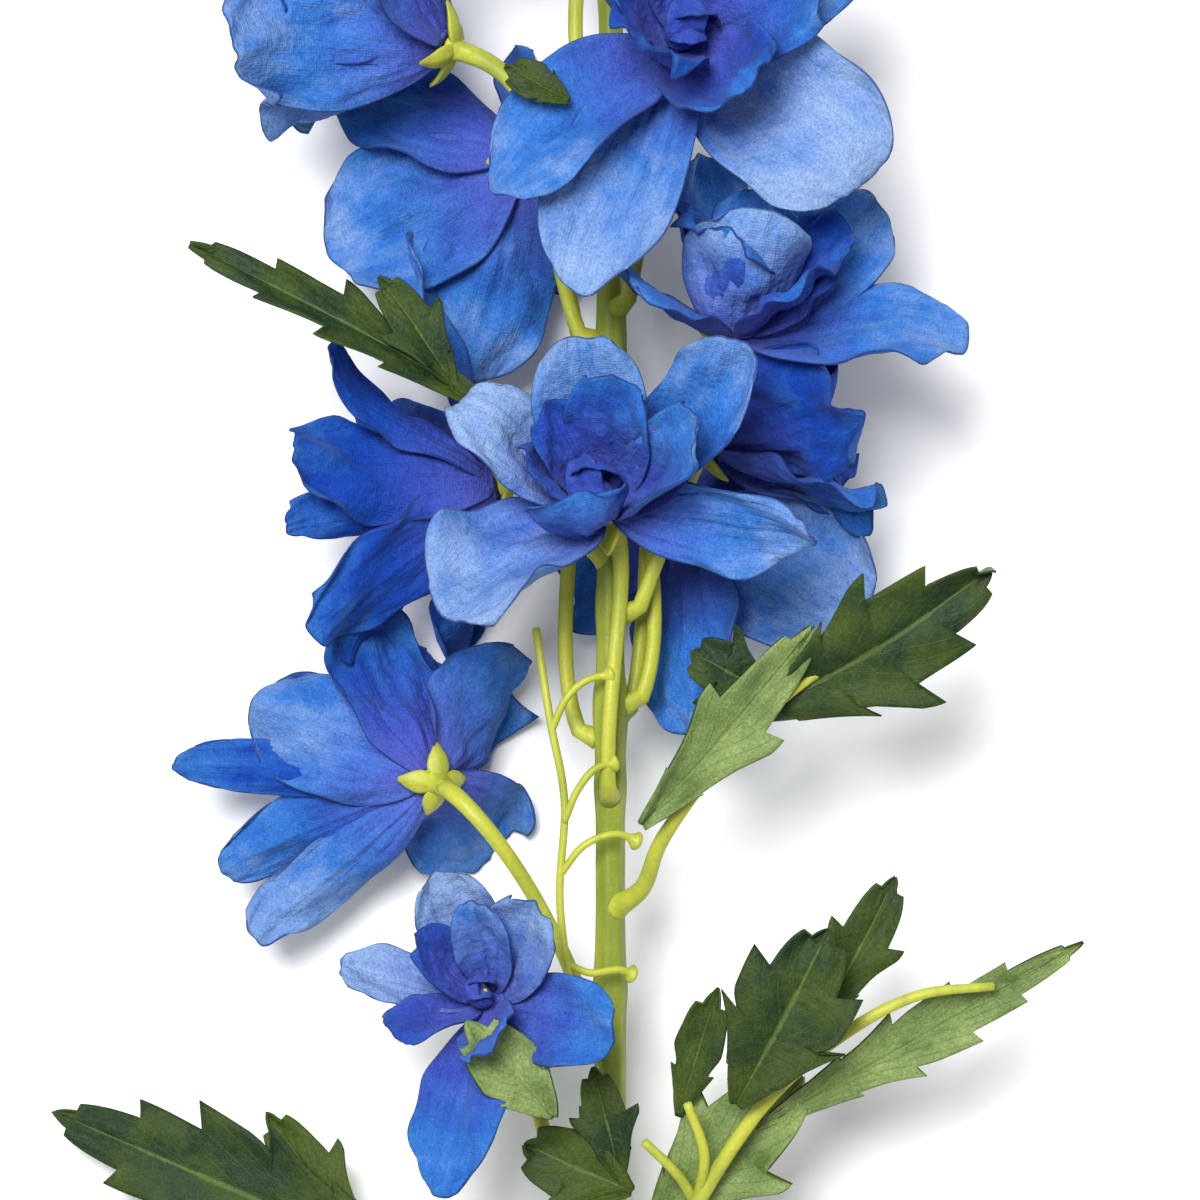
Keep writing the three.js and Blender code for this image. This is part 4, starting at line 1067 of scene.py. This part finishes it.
def addLobe(gather, shape):
    foot, tip = (np.array(shape[key], dtype=float) for key in ("foot", "tip"))
    face = np.array(shape["face"], dtype=float)
    face = face / np.linalg.norm(face)
    middle = (foot + tip) / 2 + face * shape["bow"]
    rows = int(shape["teeth"] * 16 * detail) + 2
    columns = int(18 * detail) // 2 * 2 + 1
    u, v = np.meshgrid(np.linspace(0, 1, rows), np.linspace(-1, 1, columns), indexing="ij")
    t = np.linspace(0, 1, rows)[:, None]
    spine = (1 - t) ** 2 * foot + 2 * t * (1 - t) * middle + t * t * tip
    along = unit(np.gradient(spine, axis=0))
    side = unit(np.cross(np.broadcast_to(face, along.shape), along))
    lift = np.cross(along, side)
    half = lobeHalf(u, shape["teeth"], shape["wide"])
    fold = math.radians(shape["fold"])
    # side veins sink in, the cloth between them stands up a little, and the whole leaf waves
    fromMiddle = np.abs(v)
    slant = (u * veinSlant["along"] - fromMiddle * veinSlant["across"]) % 1.0
    between = np.clip(fromMiddle * 4, 0, 1) * (1 - fromMiddle)
    veinDip = -leafSheet["veinDip"] * np.exp(-((slant - 0.5) / 0.10) ** 2) * between
    wave = 0.07 * shape["wide"] * softWaves(u, v, 6, 3) * (0.3 + fromMiddle)
    middleDip = leafSheet["middleDip"] * np.exp(-(v / 0.06) ** 2)
    raised = fromMiddle * half * math.sin(fold) + veinDip + wave - middleDip
    # teeth point towards the tip
    saw = toothSaw(u, shape["teeth"])
    forward = 0.16 * shape["wide"] * fromMiddle ** 2 * np.sin(math.pi * u) * (0.4 + 0.8 * saw ** 2)
    grid = (spine[:, None, :] + side[:, None, :] * (v * half * math.cos(fold))[..., None]
            + lift[:, None, :] * raised[..., None] + along[:, None, :] * forward[..., None])
    grid[..., 2] = pressed(grid[..., 2], leafSheet["lowest"])
    uv = np.stack([v, u], axis=-1)
    addSheet(gather, place(grid), uv, leafSheet["thick"] * mm, 0, 1, petalTone=rng.uniform(0.2, 0.8))


def buildBlade(leaf):
    gather = Gather()
    for shape in leaf["lobes"]:
        addLobe(gather, shape)
    node = leaf["name"] + "_blade" if "ribPath" in leaf else leaf["name"]
    return gather.finish(node + "_cloth", node, [leafFront, leafBack])


def buildRib(leaf):
    gather = Gather()
    first = np.array(leaf["ribPath"][0], dtype=float)
    inStem = stemPointAt(first[1] - 4.0)
    line = smoothLine([inStem + (first - inStem) * 0.15, *leaf["ribPath"]], 56)
    share = np.linspace(0, 1, len(line))
    radii = 1.6 * (1 - 0.55 * share) * (1 + 0.6 * np.exp(-share * 14))
    addTube(gather, place(line), radii * mm, 16, ridges=2, ridgeDepth=0.08)
    for path in leaf.get("spurs", []):
        line = smoothLine(path, 20)
        addTube(gather, place(line), np.linspace(1.05, 0.8, 20) * mm, 12)
    node = leaf["name"] + "_rib"
    return gather.finish(node + "_moulding", node, [stalkPlastic])


for leaf in leaves:
    buildRib(leaf)
    buildBlade(leaf)
for leaf in smallLeaves:
    buildBlade(leaf)
print("leaves made:", len(leaves) + len(smallLeaves))


# runner with its curls

runner = {
    "radius": 0.7,
    "path": [(-13, 210, 37), (-10.5, 194, 39), (-8, 180, 38.5), (-8.8, 162, 37.5), (-6.5, 146, 36)],
    "curls": [
        [(-10.3, 192, 39), (-7.5, 198, 39.5), (-4, 201, 39), (0.5, 202, 38.2)],
        [(-8.1, 176, 38.5), (-5.5, 182, 39.5), (-2.5, 185.5, 39.5), (1, 186.5, 38)],
        [(-8.6, 167, 37.8), (-4.5, 172, 38.5), (1, 174, 38), (5, 172.5, 36)],
        [(-7.4, 151, 36.6), (-3.5, 149.5, 36.5), (1.5, 150, 35.6), (4, 149, 33.8)],
    ],
}


def buildRunner():
    gather = Gather()
    line = smoothLine([*runner["path"], stemPointAt(132) + np.array([-1.5, 0, 1.5])], 70)
    addTube(gather, place(line), runner["radius"] * mm, 12)
    for path in runner["curls"]:
        line = smoothLine(path, 30)
        share = np.linspace(0, 1, len(line))
        radii = runner["radius"] * (0.95 + 1.5 * np.exp(-((share - 0.97) / 0.06) ** 2))
        addTube(gather, place(line), radii * mm, 12)
    return gather.finish("runner_moulding", "runner", [stalkPlastic])


buildRunner()


# floor, light and camera

studio = {
    "floorSize": 40.0, "floorTones": (0.93, 0.95), "skyColour": (0.97, 0.985, 1.0, 1), "sky": 0.58,
    "keyPower": 23.0, "keySize": 0.55, "keyAt": (-0.22, 0.36, 1.25),
    "lens": 150, "frameWidth": 210, "frameMiddle": (-1.75, 215), "frameHeight": 40,
}


def buildFloor():
    half = studio["floorSize"] / 2
    corners = [(-half, -half, 0), (half, -half, 0), (half, half, 0), (-half, half, 0)]
    mesh = bpy.data.meshes.new("floor")
    mesh.from_pydata(corners, [], [(0, 1, 2, 3)])
    tree = NodeTree("paleFloor")
    cloud = tree.noise(tree.where(), 30.0, 3.0, 0.5)
    tones = tree.ramp(cloud, [(0.3, grey(studio["floorTones"][0])), (0.7, grey(studio["floorTones"][1]))])
    tree.join(tones, tree.shader.inputs["Base Color"])
    tree.shader.inputs["Roughness"].default_value = 0.9
    tree.shader.inputs["Specular IOR Level"].default_value = 0.1
    mesh.materials.append(tree.material)
    floor = bpy.data.objects.new("floor", mesh)
    bpy.context.scene.collection.objects.link(floor)


def aimed(thing, target):
    direction = Vector(target) - thing.location
    thing.rotation_euler = direction.to_track_quat("-Z", "Y").to_euler()


def buildLight():
    world = bpy.data.worlds.new("studioSky")
    world.use_nodes = True
    background = world.node_tree.nodes["Background"]
    background.inputs[0].default_value = studio["skyColour"]
    background.inputs[1].default_value = studio["sky"]
    bpy.context.scene.world = world
    key = bpy.data.lights.new("keyLight", "AREA")
    key.shape = "DISK"
    key.size = studio["keySize"]
    key.energy = studio["keyPower"]
    lamp = bpy.data.objects.new("keyLight", key)
    lamp.location = studio["keyAt"]
    bpy.context.scene.collection.objects.link(lamp)
    aimed(lamp, (0, 0, 0))


def buildCamera():
    data = bpy.data.cameras.new("camera")
    data.lens = studio["lens"]
    data.sensor_width = 36
    data.clip_start = 0.05
    middle = place((*studio["frameMiddle"], studio["frameHeight"]))
    away = studio["frameWidth"] * mm * studio["lens"] / data.sensor_width
    camera = bpy.data.objects.new("camera", data)
    camera.location = (middle[0], middle[1], middle[2] + away)
    bpy.context.scene.collection.objects.link(camera)
    bpy.context.scene.camera = camera
    bpy.context.scene.view_settings.view_transform = "Standard"


buildFloor()
buildLight()
buildCamera()
print("studio ready")
